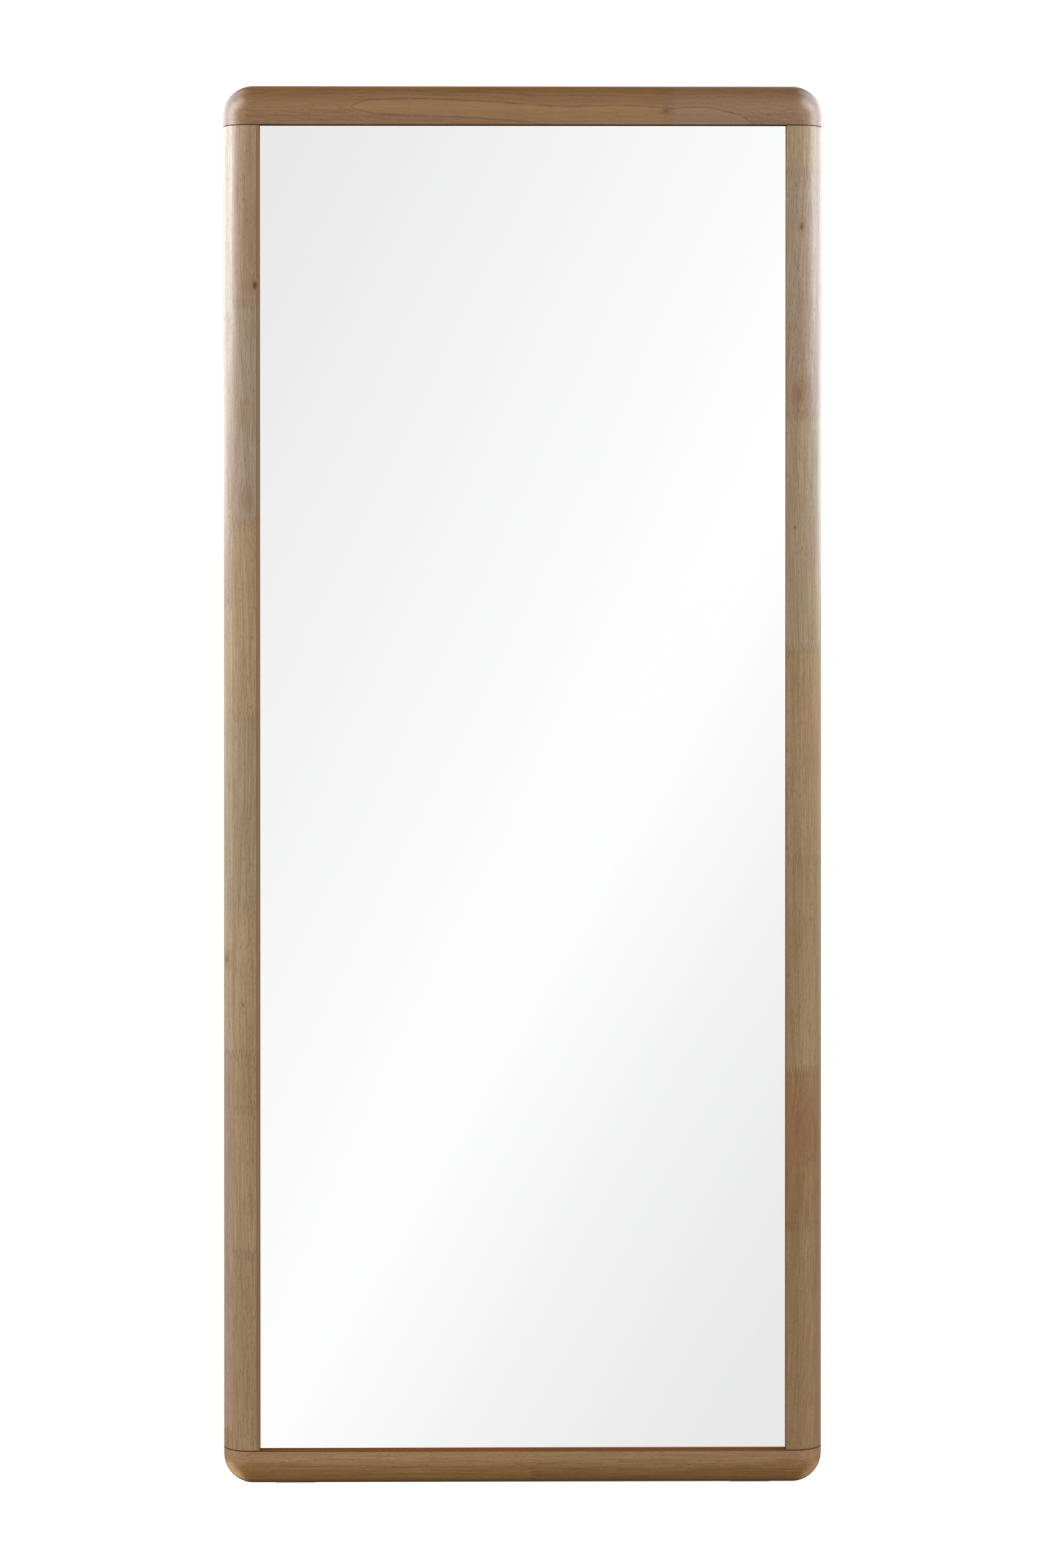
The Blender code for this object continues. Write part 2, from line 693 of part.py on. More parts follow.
def build():
    model = Model()
    mirror = model.empty("mirror_axes", None, (0, 0, LIFT), -LEAN)
    leg = model.empty("leg_axis", mirror, (0, HINGE_Y, HINGE_HEIGHT), SPREAD)
    frame = make_frame(model, mirror)
    make_frame_tenons(model, mirror, frame)
    make_pane(model, mirror)
    make_tapes(model, mirror)
    make_board(model, mirror, frame)
    hinge_rail = make_hinge_rail(model, mirror, frame)
    leg_pieces = make_leg(model, leg)
    make_hinges(model, mirror, leg, hinge_rail, leg_pieces["head_rail"])
    make_stays(model, mirror, leg, frame, leg_pieces)
    make_pads(model, mirror, leg)
    centre_on_origin(model, mirror)


build()
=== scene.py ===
"""Looks of the floor mirror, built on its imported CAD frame. Metres, +Z up, the glass faces -Y.

Most pieces are made upright in the mirror's own axes, x across, y from the front face to the back and z up
the face, or in the leg's axes, whose origin is on the hinge. MIRROR and LEG carry them to where they stand,
so that each material can read its piece's own axes from Object coordinates.
"""

import json
from math import acos, asin, atan2, cos, pi, radians, sin

import bmesh
import bpy
from mathutils import Matrix, Vector


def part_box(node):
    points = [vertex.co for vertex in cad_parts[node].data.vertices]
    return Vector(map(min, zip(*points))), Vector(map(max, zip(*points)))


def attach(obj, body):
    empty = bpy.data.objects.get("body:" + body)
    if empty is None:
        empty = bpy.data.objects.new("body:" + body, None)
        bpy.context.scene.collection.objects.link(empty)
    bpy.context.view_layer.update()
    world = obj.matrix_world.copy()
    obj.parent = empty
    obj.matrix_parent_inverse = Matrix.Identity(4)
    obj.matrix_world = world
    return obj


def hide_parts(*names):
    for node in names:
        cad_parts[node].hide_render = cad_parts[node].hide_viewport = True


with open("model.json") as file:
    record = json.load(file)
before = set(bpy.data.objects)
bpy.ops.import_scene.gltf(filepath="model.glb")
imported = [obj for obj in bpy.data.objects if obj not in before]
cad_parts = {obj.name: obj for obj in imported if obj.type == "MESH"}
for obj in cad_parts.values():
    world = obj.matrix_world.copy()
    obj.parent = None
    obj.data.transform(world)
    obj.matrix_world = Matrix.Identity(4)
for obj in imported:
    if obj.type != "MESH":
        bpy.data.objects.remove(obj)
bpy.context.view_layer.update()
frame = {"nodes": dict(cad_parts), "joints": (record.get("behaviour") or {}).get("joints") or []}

# Driving dimensions that the CAD model's boxes don't give

LEAN = radians(6.0)  # mirror from upright
SPREAD = radians(13.0)  # leg from the mirror's back
HINGE_Y = 0.0736  # hinge axis in the mirror's axes
HINGE_HEIGHT = 1.180
ROUND = 0.038  # frame's outer front edges and corners
LIP = 0.010  # from the frame's face back to the glass
PLAY = 0.001
GAP = 0.0003
KNUCKLE_RADIUS = 0.003
LEAF_THICKNESS = 0.0015
LEAF_CORNER = 0.004
PIN_RADIUS = 0.0016
MIDDLE_KNUCKLE = 0.020
KNUCKLE_GAP = 0.00015
STAY_WIDTH = 0.016
SLOT_WIDTH = 0.0068
SLOT_PLAY = 0.0012  # past the guide screw's travel, at each end
STUD_RADIUS = 0.0025
STUD_THREAD_RADIUS = 0.00225
STUD_THREAD = 0.018
STUD_COLLAR_RADIUS = 0.0045
STUD_GRIP = 0.0031
STUD_TIP = 0.002
STUD_HEAD_RADIUS = 0.0050
STUD_HEAD = 0.0022

# Small shapes that the CAD model leaves out

WOOD_EASE = 0.0018  # rounding of the leg's and hinge rail's edges
FRAME_EASE = 0.0008
STEEL_EASE = 0.0002
STAMPED_EASE = 0.0003
CHAMFER = 0.0002
SHANK = 0.48  # of a wood screw's head radius
CONE = 1.15  # countersunk cone's height, of the step from head to shank
NECK = 0.0015  # plain shank under the cone

# Fineness

ROUND_SEGMENTS = 30
TURN_SEGMENTS = 40

# Camera, in the mirror's axes

CAMERA_PLACE = (-0.059, -5.3, 1.249)
CAMERA_DOWN = 0.0074
CAMERA_RIGHT = 0.011
LENS = 96.2  # for a 36 mm long side
SHIFT = -0.16

SIDES = {"left": -1, "right": 1}


# Axes and boxes


def joint_place(name):
    return Vector(next(joint["pos_m"] for joint in frame["joints"] if joint["name"] == name))


HINGE = joint_place("leg_fold")
MIRROR = (
    Matrix.Translation(HINGE)
    @ Matrix.Rotation(-LEAN, 4, "X")
    @ Matrix.Translation((0, -HINGE_Y, -HINGE_HEIGHT))
)
LEG = Matrix.Translation(HINGE) @ Matrix.Rotation(SPREAD - LEAN, 4, "X")
FOLDED_LEG = Matrix.Translation(HINGE) @ Matrix.Rotation(-LEAN, 4, "X")
STILL = Matrix.Identity(4)


def box_in(axes, *nodes):
    """Lowest and highest corner of CAD nodes at rest, in the given axes."""
    inverse = axes.inverted()
    points = [inverse @ vert.co for node in nodes for vert in frame["nodes"][node].data.vertices]
    low = Vector([min(point[i] for point in points) for i in range(3)])
    high = Vector([max(point[i] for point in points) for i in range(3)])
    return low, high


# Camera


def make_camera():
    camera = placed("camera", bpy.data.cameras.new("camera"))
    camera.data.lens = LENS
    camera.data.sensor_width = 36.0
    camera.data.shift_y = SHIFT
    turn = Matrix.Rotation(-CAMERA_RIGHT, 4, "Z") @ Matrix.Rotation(pi / 2 - CAMERA_DOWN, 4, "X")
    camera.matrix_world = MIRROR @ Matrix.Translation(CAMERA_PLACE) @ turn
    bpy.context.scene.camera = camera


# Shader building


class Graph:
    """Adds nodes to a material's or a world's tree and links them as it goes."""

    def __init__(self, tree):
        self.tree = tree

    def node(self, kind, **settings):
        made = self.tree.nodes.new(kind)
        for name, value in settings.items():
            setattr(made, name, value)
        return made

    def feed(self, socket, value):
        if isinstance(value, bpy.types.NodeSocket):
            self.tree.links.new(value, socket)
        else:
            socket.default_value = value

    def math(self, operation, *values, clamp=False):
        made = self.node("ShaderNodeMath", operation=operation, use_clamp=clamp)
        for socket, value in zip(made.inputs, values):
            self.feed(socket, value)
        return made.outputs[0]

    def add(self, *values):
        total = values[0]
        for value in values[1:]:
            total = self.math("ADD", total, value)
        return total

    def times(self, *values):
        total = values[0]
        for value in values[1:]:
            total = self.math("MULTIPLY", total, value)
        return total

    def vector(self, x, y, z):
        made = self.node("ShaderNodeCombineXYZ")
        for socket, value in zip(made.inputs, (x, y, z)):
            self.feed(socket, value)
        return made.outputs[0]

    def stretched(self, vector, scale):
        made = self.node("ShaderNodeVectorMath", operation="MULTIPLY")
        self.feed(made.inputs[0], vector)
        made.inputs[1].default_value = scale
        return made.outputs[0]

    def split(self, vector):
        made = self.node("ShaderNodeSeparateXYZ")
        self.feed(made.inputs[0], vector)
        return made.outputs[0], made.outputs[1], made.outputs[2]

    def coordinates(self, name="Object"):
        return self.node("ShaderNodeTexCoord").outputs[name]

    def noise(self, vector, detail=2.0, roughness=0.5, w=0.0, distortion=0.0):
        made = self.node("ShaderNodeTexNoise", noise_dimensions="4D")
        self.feed(made.inputs["Vector"], vector)
        self.feed(made.inputs["W"], w)
        made.inputs["Scale"].default_value = 1.0
        made.inputs["Detail"].default_value = detail
        made.inputs["Roughness"].default_value = roughness
        made.inputs["Distortion"].default_value = distortion
        return made.outputs["Fac"]

    def span(self, value, low, high, to_low=0.0, to_high=1.0):
        """Maps low..high to to_low..to_high, clamped."""
        made = self.node("ShaderNodeMapRange", clamp=True)
        for socket, item in zip(made.inputs, (value, low, high, to_low, to_high)):
            self.feed(socket, item)
        return made.outputs[0]

    def ramp(self, value, stops, interpolation="LINEAR"):
        """Stops are (position, grey or colour)."""
        made = self.node("ShaderNodeValToRGB")
        made.color_ramp.interpolation = interpolation
        elements = made.color_ramp.elements
        while len(elements) < len(stops):
            elements.new(1.0)
        for element, (position, colour) in zip(elements, stops):
            element.position = position
            element.color = (*colour, 1.0) if isinstance(colour, tuple) else (*[colour] * 3, 1.0)
        self.feed(made.inputs[0], value)
        return made.outputs[0]

    def mix(self, share, one, other, blend="MIX"):
        made = self.node("ShaderNodeMix", data_type="RGBA", blend_type=blend)
        self.feed(made.inputs[0], share)
        for socket, value in ((made.inputs[6], one), (made.inputs[7], other)):
            self.feed(socket, (*value, 1.0) if isinstance(value, tuple) else value)
        return made.outputs[2]

    def tinted(self, tone, tint):
        return self.mix(1.0, tone, tint, "MULTIPLY")

    def mixed(self, colour, steps):
        """The colour after mixing in others one by one, each (share, colour)."""
        for share, other in steps:
            colour = self.mix(share, colour, other)
        return colour

    def bump(self, height, distance, strength=1.0):
        made = self.node("ShaderNodeBump")
        made.inputs["Strength"].default_value = strength
        made.inputs["Distance"].default_value = distance
        self.feed(made.inputs["Height"], height)
        return made.outputs[0]


def new_material(name, **constants):
    """A material, its graph and its Principled shader with constants on the shader's own sockets."""
    material = bpy.data.materials.new(name)
    material.use_nodes = True
    graph = Graph(material.node_tree)
    shader = material.node_tree.nodes["Principled BSDF"]
    for socket, value in constants.items():
        shader.inputs[socket.replace("_", " ")].default_value = value
    return material, graph, shader


# Wood

FINGER_PITCH = 0.0038
FINGER_LENGTH = 0.0127
FINGER_SKEW = 0.35  # shift of the fingers across, per distance through the wood
GLUE_REACH = 0.002  # along the grain, either side of the middle of a glue line
TONE_STEP = 0.0005  # least change of tone that counts as another stave
WOOD_SPAN = 1.80  # longest piece
DIRT_AND_SHADE_START = 0.0014  # from a joint, where dirt and painted shadow begin
DIRT_AND_SHADE_FULL = 0.0004

# What marks in the grain make of a stave's tone

DEEP = (0.68, 0.55, 0.42)
WARM = (1.02, 0.92, 0.78)
PALE = (1.22, 1.24, 1.26)
RED = (0.72, 0.46, 0.30)
DARK = (0.36, 0.24, 0.16)
RESIN = (0.84, 0.52, 0.26)
HEART = (0.16, 0.075, 0.035)
# SHADED is no grain mark: it is painted shade, for the inner faces round the glass
SHADED = (0.48, 0.27, 0.09)


def stave_tone(graph, along, fingers, staves, start, shift=0.0):
    """Tone of the stave at a point. Staves are (where each begins, tone), in rising order."""
    place = graph.add(along, fingers, shift - start)
    stops = [((begins - start) / WOOD_SPAN, tone) for begins, tone in staves]
    return graph.ramp(graph.math("DIVIDE", place, WOOD_SPAN), stops, "CONSTANT")


def laminated(graph, across, through, along, start, layers, edge, blend):
    """Tone of the finger-jointed staves, and 1 on the glue lines between them."""
    skewed = graph.add(across, graph.times(through, FINGER_SKEW))
    saw = graph.math("PINGPONG", skewed, FINGER_PITCH / 2)
    fingers = graph.times(saw, FINGER_LENGTH / (FINGER_PITCH / 2))
    tones = []
    glue = []
    for staves in layers:
        tones.append(stave_tone(graph, along, fingers, staves, start))
        before = stave_tone(graph, along, fingers, staves, start, -GLUE_REACH)
        after = stave_tone(graph, along, fingers, staves, start, GLUE_REACH)
        change = graph.mix(1.0, before, after, "DIFFERENCE")
        glue.append(graph.math("GREATER_THAN", change, TONE_STEP))
    if len(layers) == 1:
        return tones[0], glue[0]
    outer = graph.span(graph.math("ABSOLUTE", across), edge - blend, edge + blend)
    tone = graph.mix(outer, tones[0], tones[1])
    seam = graph.add(glue[0], graph.times(outer, graph.math("SUBTRACT", glue[1], glue[0])))
    return tone, seam


def around_knots(graph, across, along, bent, knots):
    """The grain's place, pushed aside by knots, then their dark hearts and the stained wood round them."""
    heart = 0.0
    stain = 0.0
    for place_along, place_across, half_length, half_width, darkness in knots:
        up = graph.math("DIVIDE", graph.add(along, -place_along), half_length)
        aside = graph.add(across, -place_across)
        out = graph.math("DIVIDE", aside, half_width)
        distance = graph.add(graph.times(up, up), graph.times(out, out))
        near = graph.math("EXPONENT", graph.times(distance, -0.16))
        bent = graph.math("SUBTRACT", bent, graph.times(aside, near, 0.8))
        core = graph.math("EXPONENT", graph.times(distance, distance, -0.9))
        heart = graph.math("MAXIMUM", heart, graph.times(core, max(0.0, darkness - 0.35) / 0.65))
        stain = graph.math("MAXIMUM", stain, graph.times(near, min(0.85, 0.45 + darkness * 0.6)))
    return bent, heart, stain


def beyond_flame(graph, across, along, start, figure, waver, ripple):
    """How far a point lies outside a cathedral grain's outline, negative inside it."""
    place = graph.times(graph.add(along, -start), 1 / WOOD_SPAN)
    sides = []
    for stops, sign in zip(figure, (1.0, -1.0)):
        heights = [height for at, height in stops]
        base, room = min(heights), max(heights) - min(heights)
        marks = [((at - start) / WOOD_SPAN, (height - base) / room) for at, height in stops]
        edge = graph.math("MULTIPLY_ADD", graph.ramp(place, marks, "B_SPLINE"), room, base)
        sides.append(graph.times(graph.math("SUBTRACT", across, edge), sign))
    fine = graph.times(graph.add(ripple, -0.5), 0.0022)
    coarse = graph.times(graph.add(waver, -0.5), 0.0040)
    shake = graph.add(fine, coarse)
    return graph.add(graph.math("SMOOTH_MAX", sides[0], sides[1], 0.004), shake)


def joint_dirt_and_shade(graph, gap, most=1.0):
    """Share of dirt and painted shadow at a distance from a joint."""
    return graph.span(gap, DIRT_AND_SHADE_START, DIRT_AND_SHADE_FULL, 0.0, most)


def wood(
    name,
    axes,
    layers,
    layer_edge=None,
    layer_blend=0.0001,
    figure=None,
    knots=(),
    rings=0.35,
    slant=0.03,
    bare_and_shaded=None,
    ends=None,
    side_joint=None,
    edging=None,
    lacquer=0.95,
    seed=0.0,
):
    """Finger-jointed hardwood under satin lacquer.

    axes: which object coordinates run (across, through, along) the piece.
    layers: the staves of each lamination, outer one last, parted where |across| passes layer_edge. On the
        rails one layer is the other darkened, as painted shade.
    layer_blend: half the width over which one lamination's tone passes into the next.
    figure: a cathedral grain's upper and lower outline, each as (along, across) pairs.
    knots: (along, across, half length, half width, darkness).
    rings: how strongly the growth rings show.
    slant: the most that a stave's grain leans off the piece's length.
    bare: (sign, limit, shade): rough and unlacquered where sign * across is below limit, and darkened there
    by
        shade, as painted shade.
    ends: where the piece ends along its length, if dirt and painted shadow darken its joints there.
    side_joint: (sign, edge, reach): the same along a side at sign * across = edge, fainter where |along| is
        below reach.
    edging: (sign, limit): a thin redder lamination where sign * across is below limit.
    lacquer: weight of the coat.
    seed: sets this piece's grain apart from the others'.
    """
    material, graph, shader = new_material(
        name, Specular_IOR_Level=0.15, Coat_Weight=lacquer, Coat_Roughness=0.32
    )
    parts = graph.split(graph.coordinates())
    across, through, along = (parts[i] for i in axes)
    start = min(staves[0][0] for staves in layers)
    tone, seam = laminated(graph, across, through, along, start, layers, layer_edge, layer_blend)

    # Each stave draws its own grain and lean from its tone
    identity = graph.math("MULTIPLY_ADD", tone, 1900.0, seed)
    chance = graph.math("FRACT", graph.times(graph.math("SINE", graph.times(identity, 12.99)), 437.5))
    lean = graph.times(graph.add(chance, -0.5), 2 * slant)
    leaning = graph.math("MULTIPLY_ADD", lean, along, across)
    bent, heart, stain = around_knots(graph, across, along, leaning, knots)

    grain = graph.vector(bent, through, along)
    broad = graph.noise(graph.stretched(grain, (42, 42, 2.6)), 2.0, 0.5, identity)
    waver = graph.noise(graph.stretched(grain, (70, 70, 10.0)), 2.0, 0.5, identity)
    streak = graph.noise(graph.stretched(grain, (330, 330, 8.0)), 3.0, 0.65, identity)
    line = graph.noise(graph.stretched(grain, (950, 950, 22.0)), 2.0, 0.65, identity)
    pore = graph.noise(graph.stretched(grain, (1150, 1150, 150.0)), 1.0, 0.5, identity)
    fleck = graph.noise(graph.stretched(grain, (620, 620, 240.0)), 2.0, 0.6, identity)
    mottle = graph.noise(graph.stretched(grain, (90, 90, 30.0)), 2.0, 0.55, identity)
    pores = graph.times(graph.span(pore, 0.56, 0.65), graph.span(mottle, 0.35, 0.60, 0.35, 1.0))

    if figure:
        ripple = graph.noise(graph.stretched(grain, (160, 160, 45.0)), 3.0, 0.6, seed)
        beyond = beyond_flame(graph, across, along, start, figure, waver, ripple)
        outline = graph.math("EXPONENT", graph.times(beyond, beyond, -1.1e6))
        outline = graph.times(outline, graph.span(ripple, 0.38, 0.60, 0.35, 1.0))
        inside = graph.span(beyond, 0.0006, -0.0006)
        count = graph.add(graph.times(beyond, 150.0), graph.times(broad, 1.2), 0.35)
    else:
        wander = graph.times(broad, 7.0)
        count = graph.add(graph.times(bent, 105.0), wander, graph.times(waver, 1.2), graph.times(stain, 2.4))
    ring = graph.math("FRACT", count)
    late = graph.ramp(
        ring, [(0.0, 0.10), (0.45, 0.20), (0.78, 0.55), (0.90, 1.0), (0.95, 0.35), (1.0, 0.10)]
    )

    tints = (DEEP, WARM, PALE, RED, DARK)
    deep, warm, pale, red, dark = (graph.tinted(tone, tint) for tint in tints)
    ringed = graph.times(late, graph.add(graph.times(stain, 0.9), rings))
    marks = [
        (graph.span(broad, 0.40, 0.68, 0.0, 0.90), warm),
        (graph.span(broad, 0.50, 0.30, 0.0, 0.55), pale),
        (ringed, deep),
        (graph.span(streak, 0.50, 0.70, 0.0, 0.62), deep),
        (graph.span(streak, 0.50, 0.30, 0.0, 0.60), pale),
        (graph.span(line, 0.52, 0.66, 0.0, 0.75), deep),
        (graph.span(line, 0.46, 0.32, 0.0, 0.60), pale),
        (graph.span(mottle, 0.54, 0.72, 0.0, 0.35), warm),
        (graph.span(fleck, 0.58, 0.72, 0.0, 0.40), pale),
        (graph.times(pores, 0.66), red),
        (graph.span(pore, 0.62, 0.72, 0.0, 0.35), dark),
    ]
    if figure:
        marks += [(graph.times(inside, 0.42), pale), (graph.times(outline, 0.75), dark)]
    marks.append((graph.times(seam, 0.36), dark))
    # Dark joints, partly real and partly painted shadow in the joint gaps, at the ends and along the side
    # joint
    if ends:
        gap = graph.math("MINIMUM", graph.add(along, -ends[0]), graph.math("SUBTRACT", ends[1], along))
        marks.append((joint_dirt_and_shade(graph, gap, 0.85), dark))
    if side_joint:
        sign, edge, reach = side_joint
        gap = graph.add(graph.times(across, sign), -edge)
        strength = graph.span(graph.math("ABSOLUTE", along), reach - 0.0004, reach, 0.40, 0.85)
        marks.append((graph.times(joint_dirt_and_shade(graph, gap), strength), dark))
    if edging:
        sign, limit = edging
        gap = graph.add(graph.times(across, sign), -limit)
        crack = graph.math("EXPONENT", graph.times(gap, gap, -6e6))
        marks += [(graph.span(gap, 0.0001, -0.0001, 0.0, 0.75), red), (graph.times(crack, 0.8), dark)]
    if knots:
        swirl = graph.span(graph.add(waver, graph.times(streak, 0.6)), 0.60, 0.92, 0.60, 1.0)
        marks.append((graph.times(stain, swirl), graph.tinted(tone, RESIN)))
        marks.append((heart, graph.tinted(tone, HEART)))
    rough = graph.add(graph.span(streak, 0.3, 0.7, 0.40, 0.48), graph.times(pores, 0.12))
    if bare_and_shaded:
        sign, limit, shade = bare_and_shaded
        # Painted shade: besides being rough and unlacquered, these inner faces round the glass are darkened
        # by shade
        raw_and_shaded = graph.math("LESS_THAN", graph.times(across, sign), limit)
        marks.append((graph.times(raw_and_shaded, shade), graph.tinted(tone, SHADED)))
        rough = graph.add(rough, graph.times(raw_and_shaded, 0.45))
        graph.feed(shader.inputs["Coat Weight"], graph.math("MULTIPLY_ADD", raw_and_shaded, -lacquer, lacquer))
    graph.feed(shader.inputs["Base Color"], graph.mixed(tone, marks))
    graph.feed(shader.inputs["Roughness"], rough)
    height = graph.add(graph.times(pores, -1.0), graph.times(line, 0.5), graph.times(streak, 0.6))
    graph.feed(shader.inputs["Normal"], graph.bump(height, 0.00008, 0.6))
    return material


# Tones of rubberwood, roughly from pale to dark

CREAM = (0.34, 0.25, 0.14)
BISCUIT = (0.32, 0.22, 0.13)
HONEY = (0.30, 0.20, 0.10)
STRAW = (0.28, 0.20, 0.11)
SAND = (0.27, 0.20, 0.13)
TAN = (0.28, 0.18, 0.08)
DUN = (0.26, 0.17, 0.10)
AMBER = (0.29, 0.16, 0.06)
COPPER = (0.27, 0.15, 0.06)
WALNUT = (0.26, 0.17, 0.07)
COCOA = (0.24, 0.14, 0.05)
RUSSET = (0.23, 0.12, 0.03)
UMBER = (0.20, 0.11, 0.05)
CHESTNUT = (0.20, 0.10, 0.03)

# Wooden pieces' staves: where each begins along the piece, and its tone. Neighbours differ in tone, because a
# stave's grain follows from it.

LEFT_INNER = [
    (0.0, TAN),
    (0.3, HONEY),
    (0.484, TAN),
    (0.551, HONEY),
    (0.745, STRAW),
    (0.979, HONEY),
    (1.225, SAND),
    (1.5, DUN),
]
LEFT_OUTER = [(0.0, TAN), (0.071, BISCUIT), (0.551, CREAM), (1.12, BISCUIT), (1.49, CREAM)]
RIGHT_INNER = [
    (0.0, COCOA),
    (0.337, RUSSET),
    (0.532, WALNUT),
    (0.797, TAN),
    (1.066, STRAW),
    (1.361, SAND),
    (1.671, STRAW),
]
TOP_STAVES = [(-0.4, CHESTNUT), (0.1905, UMBER)]
BOTTOM_STAVES = [(-0.4, AMBER), (0.02, COPPER)]
LEG_STAVES = [(-1.2, HONEY), (-0.845, WALNUT), (-0.51, BISCUIT), (-0.205, TAN)]
CROSS_STAVES = [(-0.4, TAN), (-0.13, HONEY), (0.16, COPPER)]

# Cathedral grain on the top rail: its upper and lower outline, each as (along, across) pairs

FLAME = [
    [
        (-0.40, 1.716), (-0.224, 1.7485), (-0.195, 1.7595), (-0.10, 1.7600), (0.0, 1.7520), (0.06, 1.7480),
        (0.13, 1.7525), (0.185, 1.7445), (0.225, 1.7515), (0.275, 1.7400), (0.295, 1.7250), (0.40, 1.700),
    ],
    [
        (-0.40, 1.781), (-0.224, 1.7485), (-0.190, 1.7390), (-0.12, 1.7375), (-0.03, 1.7335), (0.04, 1.7260),
        (0.10, 1.712), (0.40, 1.690),
    ],
]

UPRIGHT = (0, 1, 2)  # object coordinates that run across, through and along
LEVEL = (2, 1, 0)
STILE_ENDS = (0.04715, 1.72585)


# Staves darkened by shade: painted shade, used on the rails' top and bottom edges
def shaded(staves, shade):
    return [(begins, tuple(shade * part for part in tone)) for begins, tone in staves]


def make_woods():
    return {
        "left_stile": wood(
            "left_stile_wood",
            UPRIGHT,
            [LEFT_INNER, LEFT_OUTER],
            layer_edge=0.3685,
            knots=[
                (1.523, -0.3390, 0.0048, 0.0026, 0.95),
                (0.669, -0.3760, 0.0050, 0.0024, 0.60),
                (0.613, -0.3540, 0.0022, 0.0010, 0.70),
                (1.362, -0.3560, 0.0050, 0.0030, 0.30),
                (1.251, -0.3500, 0.0060, 0.0030, 0.25),
            ],
            rings=0.35,
            bare_and_shaded=(-1, 0.3341, 0.1),
            ends=STILE_ENDS,
            edging=(-1, 0.3372),
            seed=3.0,
        ),
        "right_stile": wood(
            "right_stile_wood",
            UPRIGHT,
            [RIGHT_INNER],
            knots=[
                (1.598, 0.3530, 0.0040, 0.0017, 0.85),
                (1.386, 0.3480, 0.0110, 0.0052, 0.52),
                (1.217, 0.3440, 0.0012, 0.0010, 0.80),
                (0.448, 0.3600, 0.0150, 0.0055, 0.34),
            ],
            rings=0.50,
            slant=0.06,
            bare_and_shaded=(1, 0.3341, 0.25),
            ends=STILE_ENDS,
            seed=11.0,
        ),
        "top_rail": wood(
            "top_rail_wood",
            LEVEL,
            # Painted shade: above layer_edge the top rail's rounded top edge takes its staves darkened to
            # 0.76
            [TOP_STAVES, shaded(TOP_STAVES, 0.76)],
            layer_edge=1.7550,
            layer_blend=0.0060,
            figure=FLAME,
            knots=[(0.181, 1.7440, 0.0032, 0.0018, 0.65)],
            rings=0.60,
            slant=0.0,
            bare_and_shaded=(1, 1.7267, 0.35),
            side_joint=(1, 1.72615, 0.3335),
            seed=23.0,
        ),
        "bottom_rail": wood(
            "bottom_rail_wood",
            LEVEL,
            # Painted shadow: below layer_edge the bottom rail's lowest few millimetres take its staves
            # darkened to 0.35
            [shaded(BOTTOM_STAVES, 0.35), BOTTOM_STAVES],
            layer_edge=0.0035,
            layer_blend=0.0050,
            rings=0.35,
            slant=0.01,
            bare_and_shaded=(-1, -0.0462, 0.85),
            side_joint=(-1, -0.04685, 0.3335),
            seed=37.0,
        ),
        "leg": wood("leg_wood", UPRIGHT, [LEG_STAVES], rings=0.45, lacquer=0.3, seed=41.0),
        "cross": wood("cross_rail_wood", LEVEL, [CROSS_STAVES], rings=0.45, lacquer=0.3, seed=53.0),
    }


# Other materials


def silvered_glass():
    """Polished, with the faint unevenness of float glass."""
    material, graph, shader = new_material(
        "silvered_glass", Metallic=1.0, IOR=1.5, Coat_Weight=0.2, Coat_Roughness=0.0
    )
    place = graph.coordinates()
    cloud = graph.noise(graph.stretched(place, (3.0, 3.0, 3.0)), 1.0, 0.4, 5.0)
    dust = graph.noise(graph.stretched(place, (900, 900, 900)), 1.0, 0.5, 9.0)
    tint = graph.ramp(cloud, [(0.3, (0.945, 0.951, 0.949)), (0.7, (0.951, 0.955, 0.953))])
    graph.feed(shader.inputs["Base Color"], tint)
    graph.feed(shader.inputs["Roughness"], graph.span(dust, 0.55, 0.85, 0.002, 0.010))
    graph.feed(shader.inputs["Normal"], graph.bump(cloud, 0.00002, 0.05))
    return material


def fibreboard():
    """Pressed wood fibres with darker specks."""
    material, graph, shader = new_material("fibreboard", Specular_IOR_Level=0.35)
    place = graph.coordinates()
    fibre = graph.noise(graph.stretched(place, (900, 900, 420)), 3.0, 0.65, 1.0, 0.6)
    cross = graph.noise(graph.stretched(place, (380, 900, 1100)), 3.0, 0.65, 4.0, 0.6)
    speck = graph.noise(graph.stretched(place, (1500, 1500, 1500)), 1.0, 0.5, 7.0)
    cloud = graph.noise(graph.stretched(place, (9, 9, 6)), 3.0, 0.6, 2.0)
    colour = graph.ramp(fibre, [(0.30, (0.235, 0.150, 0.083)), (0.70, (0.345, 0.235, 0.142))])
    marks = [
        (graph.span(cross, 0.45, 0.75, 0.0, 0.5), (0.390, 0.275, 0.172)),
        (graph.span(speck, 0.62, 0.70, 0.0, 0.6), (0.120, 0.068, 0.036)),
        (graph.span(cloud, 0.35, 0.65, 0.0, 0.22), (0.215, 0.134, 0.074)),
    ]
    graph.feed(shader.inputs["Base Color"], graph.mixed(colour, marks))
    graph.feed(shader.inputs["Roughness"], graph.span(fibre, 0.3, 0.7, 0.72, 0.90))
    graph.feed(shader.inputs["Normal"], graph.bump(graph.add(fibre, cross), 0.00012, 0.7))
    return material


